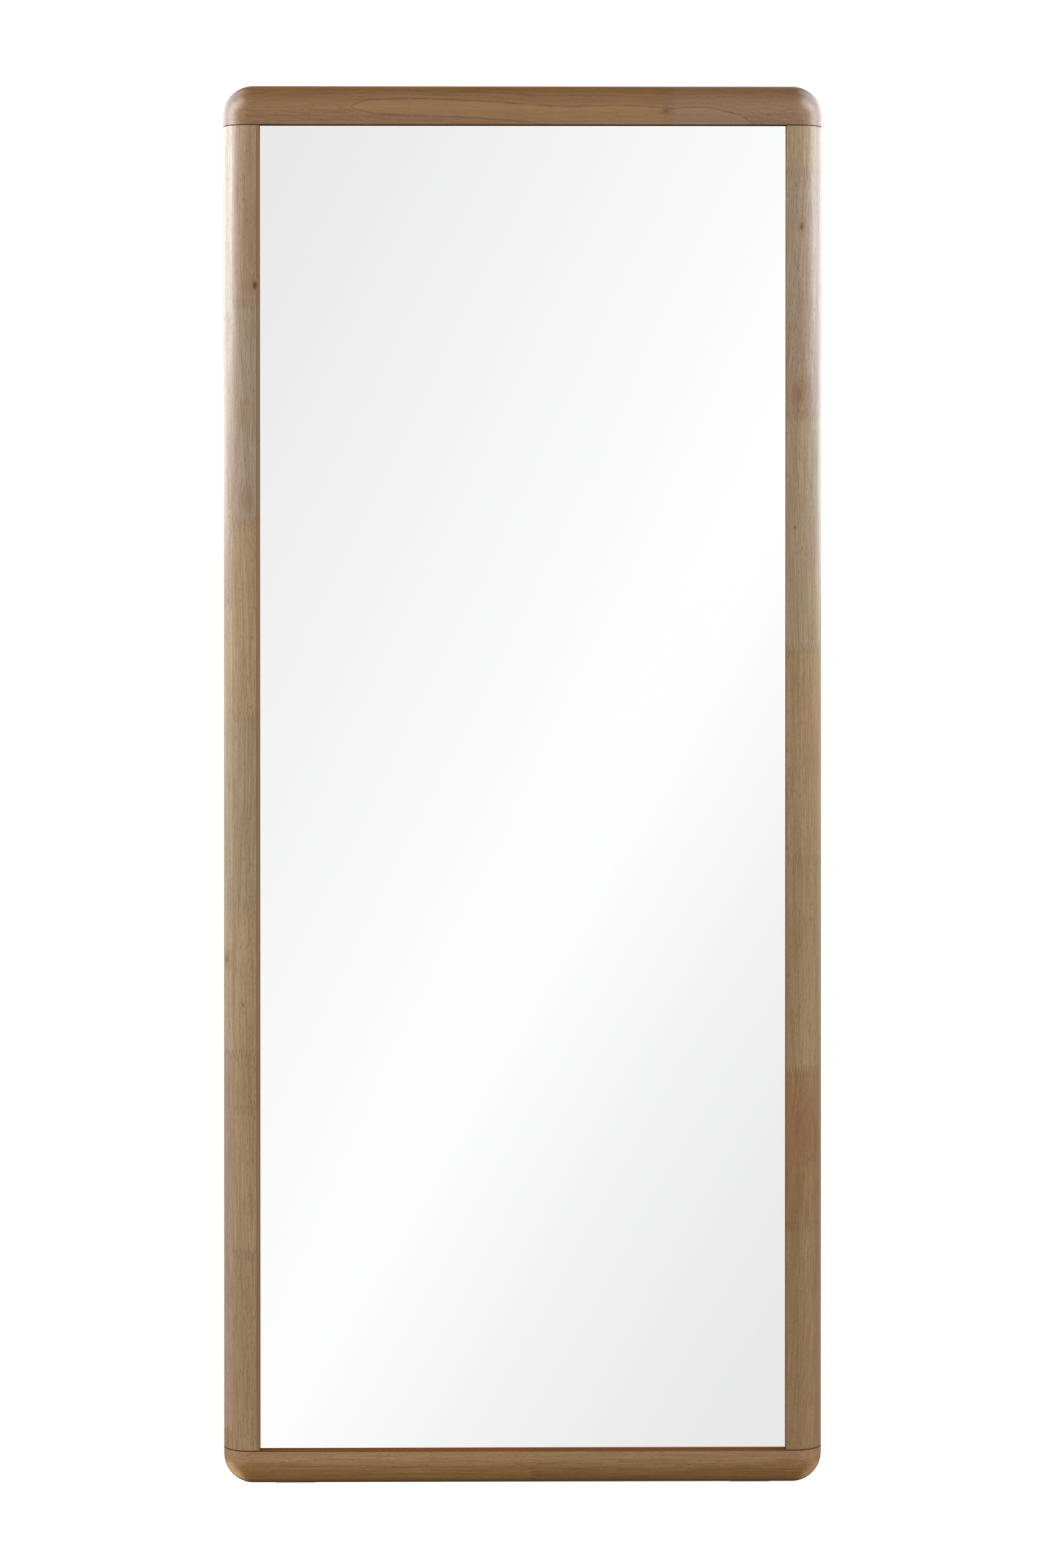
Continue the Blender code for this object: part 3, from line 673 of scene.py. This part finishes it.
def zinc_steel():
    """Bright zinc plate, faintly brushed and clouded."""
    material, graph, shader = new_material("zinc_steel", Metallic=1.0)
    place = graph.coordinates()
    brushed = graph.noise(graph.stretched(place, (90, 2600, 2600)), 2.0, 0.6, 1.0)
    cloud = graph.noise(graph.stretched(place, (260, 260, 260)), 3.0, 0.6, 3.0)
    tint = graph.ramp(
        cloud, [(0.30, (0.52, 0.53, 0.54)), (0.55, (0.66, 0.66, 0.64)), (0.75, (0.70, 0.67, 0.58))]
    )
    colour = graph.mix(graph.span(brushed, 0.40, 0.75, 0.0, 0.30), tint, (0.38, 0.39, 0.40))
    graph.feed(shader.inputs["Base Color"], colour)
    rough = graph.add(graph.span(brushed, 0.3, 0.7, 0.20, 0.36), graph.span(cloud, 0.3, 0.7, 0.0, 0.10))
    graph.feed(shader.inputs["Roughness"], rough)
    graph.feed(shader.inputs["Normal"], graph.bump(brushed, 0.00003, 0.5))
    return material


def rubber():
    """Black rubber with a gritty skin and a faint bloom."""
    material, graph, shader = new_material("black_rubber", Specular_IOR_Level=0.4)
    place = graph.coordinates()
    grit = graph.noise(graph.stretched(place, (1400, 1400, 1400)), 2.0, 0.6, 1.0)
    bloom = graph.noise(graph.stretched(place, (120, 120, 120)), 2.0, 0.6, 2.0)
    colour = graph.ramp(bloom, [(0.35, (0.016, 0.016, 0.017)), (0.70, (0.034, 0.033, 0.032))])
    graph.feed(shader.inputs["Base Color"], colour)
    graph.feed(shader.inputs["Roughness"], graph.span(grit, 0.3, 0.7, 0.58, 0.80))
    graph.feed(shader.inputs["Normal"], graph.bump(grit, 0.0001, 0.8))
    return material


def foam():
    """Grey closed-cell foam."""
    material, graph, shader = new_material("grey_foam", Specular_IOR_Level=0.2)
    cells = graph.node("ShaderNodeTexVoronoi")
    graph.feed(cells.inputs["Vector"], graph.coordinates())
    cells.inputs["Scale"].default_value = 2400.0
    depth = cells.outputs["Distance"]
    # Painted shade: darker toward each cell's middle, where the bump is lowest
    colour = graph.ramp(depth, [(0.0, (0.13, 0.13, 0.135)), (0.6, (0.27, 0.27, 0.28))])
    graph.feed(shader.inputs["Base Color"], colour)
    graph.feed(shader.inputs["Roughness"], graph.span(depth, 0.0, 0.7, 0.98, 0.88))
    graph.feed(shader.inputs["Normal"], graph.bump(depth, 0.0003, 0.8))
    return material


# Mesh building


def solid_from(form, name):
    mesh = bpy.data.meshes.new(name)
    form.to_mesh(mesh)
    form.free()
    return mesh


def box_form(low, high):
    form = bmesh.new()
    low, high = Vector(low), Vector(high)
    bmesh.ops.create_cube(form, size=1.0)
    bmesh.ops.scale(form, vec=high - low, verts=form.verts)
    bmesh.ops.translate(form, vec=(low + high) / 2, verts=form.verts)
    return form


def block(low, high):
    return solid_from(box_form(low, high), "block")


def arc(centre, radius, start, end, segments):
    steps = [start + (end - start) * i / segments for i in range(segments + 1)]
    return [(centre[0] + radius * cos(a), centre[1] + radius * sin(a)) for a in steps]


def prism(outline, low, high, axis):
    """An outline, anticlockwise, swept along x or y from low to high. Its points are (y, z) or (x, z)."""
    form = bmesh.new()
    ends = []
    for at in (low, high):
        points = [(at, u, v) if axis == "x" else (u, at, v) for u, v in outline]
        ends.append([form.verts.new(point) for point in points])
    form.faces.new(ends[0])
    form.faces.new(reversed(ends[1]))
    for i in range(len(outline)):
        j = (i + 1) % len(outline)
        form.faces.new((ends[0][i], ends[1][i], ends[1][j], ends[0][j]))
    bmesh.ops.recalc_face_normals(form, faces=form.faces)
    return solid_from(form, "prism")


def lathe(rows, segments=TURN_SEGMENTS, thread=None):
    """A turned solid. Rows are (radius, height) from the top axis point down to the bottom one.

    thread: (pitch, depth, top, bottom) cuts a helical groove between two heights.
    """
    form = bmesh.new()
    rings = []
    for radius, height in rows[1:-1]:
        ring = []
        for i in range(segments):
            angle = 2 * pi * i / segments
            reach = radius
            if thread and thread[3] < height < thread[2]:
                phase = (height / thread[0] + i / segments) % 1.0
                reach -= thread[1] * abs(2 * phase - 1)
            ring.append(form.verts.new((reach * cos(angle), reach * sin(angle), height)))
        rings.append(ring)
    top = form.verts.new((0, 0, rows[0][1]))
    bottom = form.verts.new((0, 0, rows[-1][1]))
    for i in range(segments):
        j = (i + 1) % segments
        form.faces.new((top, rings[0][i], rings[0][j]))
        form.faces.new((bottom, rings[-1][j], rings[-1][i]))
        for upper, lower in zip(rings, rings[1:]):
            form.faces.new((upper[i], lower[i], lower[j], upper[j]))
    bmesh.ops.recalc_face_normals(form, faces=form.faces)
    return solid_from(form, "turned")


def placed(name, mesh, place=STILL):
    made = bpy.data.objects.new(name, mesh)
    made.matrix_world = place
    bpy.context.scene.collection.objects.link(made)
    return made


def applied(holder):
    """The mesh that an object's modifiers make. The object itself is removed."""
    bpy.context.view_layer.update()
    evaluated = holder.evaluated_get(bpy.context.evaluated_depsgraph_get())
    mesh = bpy.data.meshes.new_from_object(evaluated)
    bpy.data.objects.remove(holder, do_unlink=True)
    return mesh


def carved(mesh, steps):
    """The mesh after Boolean steps, each (operation, cutter's mesh, cutter's place)."""
    holder = placed("carving", mesh)
    cutters = [placed("cutter", cutter_mesh, place) for operation, cutter_mesh, place in steps]
    for (operation, cutter_mesh, place), cutter in zip(steps, cutters):
        step = holder.modifiers.new("cut", "BOOLEAN")
        step.operation = operation
        step.solver = "EXACT"
        step.object = cutter
    result = applied(holder)
    for cutter in cutters:
        bpy.data.objects.remove(cutter, do_unlink=True)
    return result


def eased(mesh, width=WOOD_EASE, segments=5):
    """The mesh with all its edges rounded, before anything is cut from it."""
    holder = placed("easing", mesh)
    ease = holder.modifiers.new("ease", "BEVEL")
    ease.width = width
    ease.segments = segments
    return applied(holder)


def piece(node, mesh, axes, body, material, ease=0.0, segments=3, sharp=35, name=None):
    """Puts a finished piece on its body, in a CAD node's stead, with its sharp edges bevelled by ease."""
    made = placed(name or f"{node}_finished", mesh, axes)
    mesh.materials.clear()
    mesh.materials.append(material)
    mesh.shade_smooth()
    if ease:
        bevel = made.modifiers.new("ease", "BEVEL")
        bevel.width = ease
        bevel.segments = segments
        bevel.limit_method = "ANGLE"
        bevel.angle_limit = radians(sharp)
        normals = made.modifiers.new("flat_faces", "WEIGHTED_NORMAL")
        normals.weight = 80
    else:
        mesh.set_sharp_from_angle(angle=radians(sharp))
    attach(made, body)
    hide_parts(node)


# Frame


def outer_form(low, high):
    """The whole frame as one slab, its front edges and its corners rounded to one radius."""
    form = box_form(low, high)
    middle = (low.y + high.y) / 2
    rounded = []
    for edge in form.edges:
        a, b = edge.verts[0].co, edge.verts[1].co
        if abs(a.y - b.y) > middle or a.y + b.y < middle:
            rounded.append(edge)
    bmesh.ops.bevel(
        form, geom=rounded, offset=ROUND, segments=ROUND_SEGMENTS, profile=0.5, affect="EDGES"
    )
    return solid_from(form, "outer_form")


def rebate(pane_low, pane_high, front, play, back):
    """Room behind the lip for a sheet, with play at its edges."""
    low = (pane_low.x - play, front, pane_low.z - play)
    high = (pane_high.x + play, back, pane_high.z + play)
    return block(low, high)


def make_frame(woods):
    low, high = box_in(MIRROR, "top_rail", "bottom_rail")
    form = outer_form(low, high)
    behind = high.y + 0.02
    pane_room = rebate(*box_in(MIRROR, "mirror_pane"), LIP, PLAY, behind)
    board_box = box_in(MIRROR, "back_board")
    board_room = rebate(*board_box, board_box[0].y - GAP, PLAY, behind)
    tenons = [f"{level}_{side}_tenon" for level in ("top", "bottom") for side in SIDES]
    for name in ("top_rail", "bottom_rail", "left_stile", "right_stile"):
        member_low, member_high = box_in(MIRROR, name)
        outside = Vector((0.02, 0.02, 0.02))
        region_low, region_high = member_low - outside, member_high + outside
        if name == "top_rail":
            region_low.z = member_low.z
        elif name == "bottom_rail":
            region_high.z = member_high.z
        else:
            region_low.z, region_high.z = member_low.z, member_high.z
            if name == "left_stile":
                region_high.x = member_high.x
            else:
                region_low.x = member_low.x
        steps = [
            ("INTERSECT", block(region_low, region_high), STILL),
            ("DIFFERENCE", pane_room, STILL),
            ("DIFFERENCE", board_room, STILL),
        ]
        for tenon in tenons:
            if name.split("_")[0] in tenon:
                tenon_low, tenon_high = box_in(MIRROR, tenon)
                room = Vector((GAP, GAP, GAP))
                steps.append(("DIFFERENCE", block(tenon_low - room, tenon_high + room), STILL))
        mesh = carved(form.copy(), steps)
        piece(name, mesh, MIRROR, "mirror", woods[name], FRAME_EASE)


def make_pane(material):
    low, high = box_in(MIRROR, "mirror_pane")
    mesh = block(low, high)
    piece("mirror_pane", mesh, MIRROR, "mirror", material, FRAME_EASE, 2, name="mirror_glass")


# Screws and studs


HEAD_TURNS = {
    "back": Matrix.Rotation(-pi / 2, 4, "X"),
    "right": Matrix.Rotation(pi / 2, 4, "Y"),
    "left": Matrix.Rotation(-pi / 2, 4, "Y"),
}


def head_place(axes, node, towards):
    """Where the middle of a fastener's head lies, its own z pointing out of the head."""
    low, high = box_in(axes, node)
    place = (low + high) / 2
    if towards == "back":
        place.y = high.y
    else:
        place.x = high.x if towards == "right" else low.x
    return axes @ Matrix.Translation(place) @ HEAD_TURNS[towards]


def cross_recess(radius, depth):
    """Cutters for a cross-head driver: two crossed blades that narrow downwards."""
    cutters = []
    for angle in (0, pi / 2):
        form = bmesh.new()
        bmesh.ops.create_cube(form, size=1.0)
        for vert in form.verts:
            share = 1.0 if vert.co.z > 0 else 0.45
            vert.co.x *= 2 * radius * share
            vert.co.y *= 0.30 * radius * (0.6 + 0.4 * share)
            vert.co.z *= 2 * depth
        cutters.append(("DIFFERENCE", solid_from(form, "blade"), Matrix.Rotation(angle, 4, "Z")))
    return cutters


def countersunk(head):
    """Shank radius and cone height of a wood screw, from its head's radius."""
    shank = head * SHANK
    return shank, (head - shank) * CONE


def screw_mesh(head, length):
    """A countersunk wood screw with a cross recess and a helical thread, its head at z = 0."""
    shank, cone = countersunk(head)
    pitch = shank * 0.95
    tip = shank * 2.4
    neck = -cone - NECK
    rows = [(0, 0), (head * 0.5, 0), (head - CHAMFER, 0), (head, -CHAMFER), (head, -2 * CHAMFER)]
    rows += [(shank, -cone), (shank, neck)]
    turns = int((length - cone - NECK - tip) / (pitch / 6))
    for i in range(turns + 1):
        rows.append((shank, neck + (tip - length - neck) * (i + 1) / (turns + 1)))
    for i in range(1, 6):
        rows.append((shank * (1 - i / 6), tip - length - tip * i / 6))
    rows.append((0, -length))
    mesh = lathe(rows, 24, (pitch, shank * 0.32, neck, -length))
    return carved(mesh, cross_recess(head * 0.56, head * 0.42))


def make_screws(steel):
    kinds = {}
    plain = [name for name in sorted(frame["nodes"]) if name.startswith(("board_screw", "rail_screw"))]
    fasteners = [("mirror", MIRROR, name) for name in plain]
    for side in SIDES:
        for end in ("inner", "outer"):
            fasteners.append(("mirror", MIRROR, f"{side}_frame_leaf_screw_{end}"))
            fasteners.append(("leg", LEG, f"{side}_leg_leaf_screw_{end}"))
    for number, (body, axes, name) in enumerate(fasteners):
        low, high = box_in(axes, name)
        head, length = (high.x - low.x) / 2, high.y - low.y
        size = (round(head, 5), round(length, 5))
        if size not in kinds:
            kinds[size] = screw_mesh(head, length)
        turned = head_place(axes, name, "back") @ Matrix.Rotation(number * 2.4, 4, "Z")
        piece(name, kinds[size].copy(), turned, body, steel)


def stud_mesh(rows_below):
    """A shoulder screw with a domed head and a cross recess, its head's top at z = 0."""
    full = radians(72)
    rows = [(0, 0)]
    for i in range(1, 9):
        angle = i / 8 * full
        fall = (1 - cos(angle)) / (1 - cos(full))
        rows.append((STUD_HEAD_RADIUS * sin(angle) / sin(full), -STUD_HEAD * 0.75 * fall))
    rows += [(STUD_HEAD_RADIUS, CHAMFER - STUD_HEAD), (STUD_HEAD_RADIUS - CHAMFER, -STUD_HEAD)]
    recess = cross_recess(STUD_HEAD_RADIUS * 0.50, STUD_HEAD * 0.62)
    return carved(lathe(rows + rows_below, 32), recess)


def make_studs(steel):
    root = -STUD_HEAD - STUD_GRIP
    for side, sign in SIDES.items():
        outwards, inwards = ("right", "left") if sign > 0 else ("left", "right")
        pivot, guide = f"{side}_stay_pivot", f"{side}_stay_guide"
        collar = [(STUD_RADIUS, root), (STUD_COLLAR_RADIUS, root)]
        studs = (
            (pivot, "mirror", MIRROR, inwards, collar, STUD_COLLAR_RADIUS, 0.0),
            (guide, "leg", LEG, outwards, [], STUD_RADIUS, 0.5),
        )
        for name, body, axes, towards, grip, radius, turn in studs:
            low, high = box_in(axes, name)
            length = high.x - low.x
            wood_at = STUD_THREAD - length
            rows = [(STUD_RADIUS, -STUD_HEAD), *grip, (radius, wood_at), (STUD_THREAD_RADIUS, wood_at)]
            rows += [(STUD_THREAD_RADIUS, STUD_TIP - length), (0, -length)]
            place = head_place(axes, name, towards) @ Matrix.Rotation(turn, 4, "Z")
            piece(name, stud_mesh(rows), place, body, steel)


# Hinge rail, leg, hinges


def countersink(head):
    """Cutter for the hole of a countersunk screw whose head lies at z = 0."""
    shank, cone = countersunk(head)
    rim = head + CHAMFER
    hole = shank + CHAMFER
    return lathe([(0, 0.002), (rim, 0.002), (rim, 0), (hole, -cone - 0.0001), (hole, -0.03), (0, -0.03)], 32)


def countersinks(axes, nodes, fence):
    """Boolean steps that let countersunk screws into a piece made in fence's axes."""
    steps = []
    for node in nodes:
        low, high = box_in(axes, node)
        place = fence.inverted() @ head_place(axes, node, "back")
        steps.append(("DIFFERENCE", countersink((high.x - low.x) / 2), place))
    return steps


def make_hinge_rail(material):
    low, high = box_in(MIRROR, "hinge_rail")
    screws = [f"rail_screw_{side}_{level}" for side in SIDES for level in ("lower", "upper")]
    mesh = carved(eased(block(low, high)), countersinks(MIRROR, screws, MIRROR))
    piece("hinge_rail", mesh, MIRROR, "mirror", material, CHAMFER, 1, 60)


def leg_height(y, floor_height):
    """Height in the leg's axes at which a point lies floor_height above the floor when the leg stands."""
    tilt = SPREAD - LEAN
    return (floor_height - HINGE.z - y * sin(tilt)) / cos(tilt)


def make_leg(woods):
    for side in SIDES:
        name = f"{side}_leg"
        low, high = box_in(LEG, name)
        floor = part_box(name)[0].z
        outline = [
            (low.y, leg_height(low.y, floor)),
            (high.y, leg_height(high.y, floor)),
            (high.y, high.z),
            (low.y, high.z),
        ]
        mesh = eased(prism(outline, low.x, high.x, "x"))
        piece(name, mesh, LEG, "leg", woods["leg"])
    for name in ("head_rail", "foot_rail"):
        low, high = box_in(LEG, name)
        mesh = eased(block(low, high))
        piece(name, mesh, LEG, "leg", woods["cross"])


def leaf_mesh(width, height, knuckles):
    """A hinge leaf with rounded corners, wrapped round its pin. Its own origin is on the pin's axis."""
    front = -KNUCKLE_RADIUS
    back = front + LEAF_THICKNESS
    meets = acos(back / KNUCKLE_RADIUS)
    outline = [(front, height)] + arc((0, 0), KNUCKLE_RADIUS, -pi, meets, 36) + [(back, height)]
    half = width / 2
    sheet = prism(outline, -half, half, "x")
    inset = LEAF_CORNER
    window = [(-half - 0.001, -0.01), (half + 0.001, -0.01), (half + 0.001, 0.008), (half, 0.008)]
    window += arc((half - inset, height - inset), inset, 0, pi / 2, 10)
    window += arc((inset - half, height - inset), inset, pi / 2, pi, 10)
    window += [(-half, 0.008), (-half - 0.001, 0.008)]
    along_pin = HEAD_TURNS["right"]
    radius, end = PIN_RADIUS + 0.0001, half + 0.001
    bore = lathe([(0, end), (radius, end), (radius, -end), (0, -end)], 32)
    steps = [("INTERSECT", prism(window, -0.01, 0.01, "y"), STILL), ("DIFFERENCE", bore, along_pin)]
    reach = KNUCKLE_RADIUS * 1.5
    inner = MIDDLE_KNUCKLE / 2
    if knuckles == "outer":
        notches = [(-inner - KNUCKLE_GAP, inner + KNUCKLE_GAP)]
    else:
        notches = [(-width, KNUCKLE_GAP - inner), (inner - KNUCKLE_GAP, width)]
    for low, high in notches:
        steps.append(("DIFFERENCE", block((low, -reach, -reach), (high, reach, reach)), STILL))
    return sheet, steps


def make_hinges(steel):
    for side in SIDES:
        low, high = box_in(MIRROR, f"{side}_hinge_frame_leaf")
        middle = (low.x + high.x) / 2
        axis = MIRROR @ Matrix.Translation((middle, HINGE_Y, HINGE_HEIGHT))
        hanging = LEG @ Matrix.Translation((middle, 0, 0)) @ Matrix.Rotation(pi, 4, "Y")
        drop = -box_in(LEG, f"{side}_hinge_leg_leaf")[0].z
        leaves = (
            ("frame", "mirror", MIRROR, axis, high.z - HINGE_HEIGHT, "outer"),
            ("leg", "leg", LEG, hanging, drop, "middle"),
        )
        for kind, body, axes, place, height, knuckles in leaves:
            name = f"{side}_hinge_{kind}_leaf"
            low, high = box_in(axes, name)
            sheet, steps = leaf_mesh(high.x - low.x, height, knuckles)
            screws = [f"{side}_{kind}_leaf_screw_{end}" for end in ("inner", "outer")]
            mesh = carved(sheet, steps + countersinks(axes, screws, place))
            piece(name, mesh, place, body, steel, STEEL_EASE, 2, 50)
        name = f"{side}_hinge_pin"
        low, high = box_in(MIRROR, name)
        half = (high.x - low.x) / 2
        dome = [(PIN_RADIUS * sin(a), half - PIN_RADIUS * 0.5 * (1 - cos(a))) for a in (0, 0.5, 1.0, pi / 2)]
        rows = dome + [(radius, -height) for radius, height in reversed(dome)]
        place = axis @ HEAD_TURNS["right"]
        piece(name, lathe(rows, 32), place, "mirror", steel)


# Stays


def stadium(start, end, radius, segments=20):
    return arc((0, start), radius, pi, 2 * pi, segments) + arc((0, end), radius, 0, pi, segments)


def reach_to_guide(side, leg):
    """From a stay's pivot to its guide screw, seen along the hinge, with the leg in the given axes."""
    low, high = box_in(LEG, f"{side}_stay_guide")
    reach = leg @ ((low + high) / 2) - joint_place(f"{side}_stay_swing")
    reach.x = 0
    return reach


def make_stays(steel):
    for side in SIDES:
        name = f"{side}_stay_arm"
        open_reach, folded_reach = reach_to_guide(side, LEG), reach_to_guide(side, FOLDED_LEG)
        hang = Matrix.Rotation(atan2(open_reach.y, -open_reach.z), 4, "X")
        place = Matrix.Translation(joint_place(f"{side}_stay_swing")) @ hang
        low, high = box_in(place, name)
        half = STAY_WIDTH / 2
        thick = (high.x - low.x) / 2
        arm = prism(stadium(low.z + half, 0, half), -thick, thick, "x")
        slot_low, slot_high = -open_reach.length - SLOT_PLAY, SLOT_PLAY - folded_reach.length
        slot = prism(stadium(slot_low, slot_high, SLOT_WIDTH / 2), -0.01, 0.01, "x")
        hole = prism(arc((0, 0), STUD_RADIUS + GAP, 0, 2 * pi * 31 / 32, 31), -0.01, 0.01, "x")
        mesh = carved(arm, [("DIFFERENCE", slot, STILL), ("DIFFERENCE", hole, STILL)])
        piece(name, mesh, place, f"{side}_stay", steel, STAMPED_EASE, 2, 50)


# Pads


def side_outline(axes, node):
    """A node's corners seen along x, as (y, z) going anticlockwise."""
    inverse = axes.inverted()
    points = [inverse @ vert.co for vert in frame["nodes"][node].data.vertices]
    corners = sorted({(round(point.y, 5), round(point.z, 5)) for point in points})
    middle_y = sum(corner[0] for corner in corners) / len(corners)
    middle_z = sum(corner[1] for corner in corners) / len(corners)
    return sorted(corners, key=lambda corner: atan2(corner[1] - middle_z, corner[0] - middle_y))


def make_pads(material):
    for side in SIDES:
        for kind, axes, body in (("frame", MIRROR, "mirror"), ("foot", LEG, "leg")):
            name = f"{side}_{kind}_pad"
            low, high = box_in(axes, name)
            mesh = prism(side_outline(axes, name), low.x, high.x, "x")
            piece(name, mesh, axes, body, material, STAMPED_EASE, 2)


# CAD nodes that keep their shape


def dress(nodes, material):
    for name in nodes:
        for slot in frame["nodes"][name].material_slots:
            slot.material = material


# Studio

# Brightness of the card in front, by how far aslant a direction points
CARD = [(0.122, 0.841), (0.341, 0.953), (0.510, 1.040), (0.545, 1.040), (0.658, 0.943), (0.804, 0.858)]
CARD_REACH = 0.20
CARD_SLANT = -0.553
# Brightness from straight down to straight up, and from in front of the mirror to behind it
BY_HEIGHT = [(0.0, 0.02), (0.12, 0.03), (0.25, 0.36), (0.36, 0.95), (0.66, 1.0), (0.80, 0.78), (1.0, 0.50)]
BY_TURN = [(0.0, 1.0), (0.04, 1.0), (0.09, 1.52), (0.45, 1.55), (0.6, 0.80), (0.85, 0.84), (0.93, 1.25)]
STUDIO_LIGHT = 1.025
BACKDROP = 1.05
FLOOR_DROP = 0.0002

PLAIN = (1, 1, 1)
COOL = (0.84, 0.97, 1.10)
EMBER = (1.0, 0.70, 0.38)
LAMPS = [  # name, place, target, size, power, colour
    ("left_rim", (-1.18, 0.60, 2.06), (-0.38, -0.05, 1.86), (1.0, 1.95), 12.5, COOL),
    ("right_rim", (1.18, 0.60, 2.02), (0.38, -0.05, 1.82), (1.0, 2.05), 13.0, COOL),
    ("left_side", (-1.75, 0.0, 2.02), (-0.38, -0.05, 1.78), (0.9, 1.20), 23.0, COOL),
    ("right_side", (1.75, 0.0, 2.05), (0.38, -0.05, 1.80), (0.8, 1.15), 15.5, COOL),
    ("left_high", (-1.51, -0.28, 2.85), (-0.38, -0.05, 1.74), (0.9, 0.9), 13.0, PLAIN),
    ("right_high", (1.51, -0.28, 2.85), (0.38, -0.05, 1.74), (0.9, 0.9), 13.0, PLAIN),
    ("left_glow", (-0.80, 0.05, -0.45), (-0.36, -0.16, 0.03), (0.6, 0.5), 2.4, EMBER),
    ("right_glow", (0.80, 0.05, -0.45), (0.36, -0.16, 0.03), (0.6, 0.5), 1.2, EMBER),
]


def make_world():
    """White to the camera. The mirror is lit by a card in front, graded aslant, by brighter sides, by dimmer
    light from above and behind, and by next to none from below."""
    world = bpy.data.worlds.new("studio")
    bpy.context.scene.world = world
    world.use_nodes = True
    tree = world.node_tree
    tree.nodes.clear()
    graph = Graph(tree)
    x, y, z = graph.split(graph.coordinates("Generated"))
    forward = graph.math("MAXIMUM", graph.times(y, -1.0), 0.02)
    aside = graph.math("DIVIDE", x, forward)
    up = graph.math("DIVIDE", z, forward)
    slant = graph.add(aside, graph.times(up, CARD_SLANT))
    card = graph.ramp(graph.span(slant, -CARD_REACH, CARD_REACH), CARD)
    height = graph.ramp(graph.span(z, -1.0, 1.0), BY_HEIGHT)
    turn = graph.ramp(graph.span(y, -1.0, 1.0), BY_TURN)
    steep = graph.span(graph.math("ABSOLUTE", z), 0.12, 0.40, 0.0, 0.85)
    gloom = graph.math("SUBTRACT", 1.0, graph.times(graph.span(y, 0.0, 0.2), steep))
    soft = graph.node("ShaderNodeBackground")
    graph.feed(soft.inputs[0], graph.times(card, height, turn, gloom))
    soft.inputs[1].default_value = STUDIO_LIGHT
    white = graph.node("ShaderNodeBackground")
    white.inputs[0].default_value = (1, 1, 1, 1)
    white.inputs[1].default_value = BACKDROP
    seen = graph.node("ShaderNodeLightPath").outputs["Is Camera Ray"]
    mixed = graph.node("ShaderNodeMixShader")
    graph.feed(mixed.inputs[0], seen)
    graph.feed(mixed.inputs[1], soft.outputs[0])
    graph.feed(mixed.inputs[2], white.outputs[0])
    graph.feed(graph.node("ShaderNodeOutputWorld").inputs[0], mixed.outputs[0])


def make_lamp(name, place, target, size, power, colour):
    lamp = bpy.data.lights.new(name, "AREA")
    lamp.shape = "RECTANGLE"
    lamp.size, lamp.size_y = size
    lamp.energy = power
    lamp.color = colour
    away = Vector(place) - Vector(target)
    turn = away.to_track_quat("Z", "Y").to_matrix().to_4x4()
    made = placed(name, lamp, Matrix.Translation(place) @ turn)
    made.visible_camera = False


def make_floor():
    """A plain pale floor, seen by the camera only."""
    form = bmesh.new()
    bmesh.ops.create_grid(form, x_segments=4, y_segments=4, size=20.0)
    floor = placed("floor", solid_from(form, "floor"), Matrix.Translation((0, 0, -FLOOR_DROP)))
    pale = {"Base_Color": (0.9, 0.9, 0.9, 1), "Roughness": 0.9, "Specular_IOR_Level": 0.0}
    glow = {"Emission_Color": (1, 1, 1, 1), "Emission_Strength": 0.9}
    floor.data.materials.append(new_material("pale_floor", **pale, **glow)[0])
    floor.visible_diffuse = False
    floor.visible_glossy = False
    floor.visible_shadow = False


def main():
    make_camera()
    woods = make_woods()
    steel = zinc_steel()
    make_frame(woods)
    make_pane(silvered_glass())
    make_screws(steel)
    make_hinge_rail(woods["cross"])
    make_leg(woods)
    make_hinges(steel)
    make_studs(steel)
    make_stays(steel)
    make_pads(rubber())
    dress(["back_board"], fibreboard())
    dress([f"{side}_tape" for side in ("left", "right", "top", "bottom")], foam())
    dress([name for name in frame["nodes"] if name.endswith("_tenon")], woods["cross"])
    make_world()
    for lamp in LAMPS:
        make_lamp(*lamp)
    make_floor()
    bpy.context.scene.view_settings.view_transform = "Standard"


main()
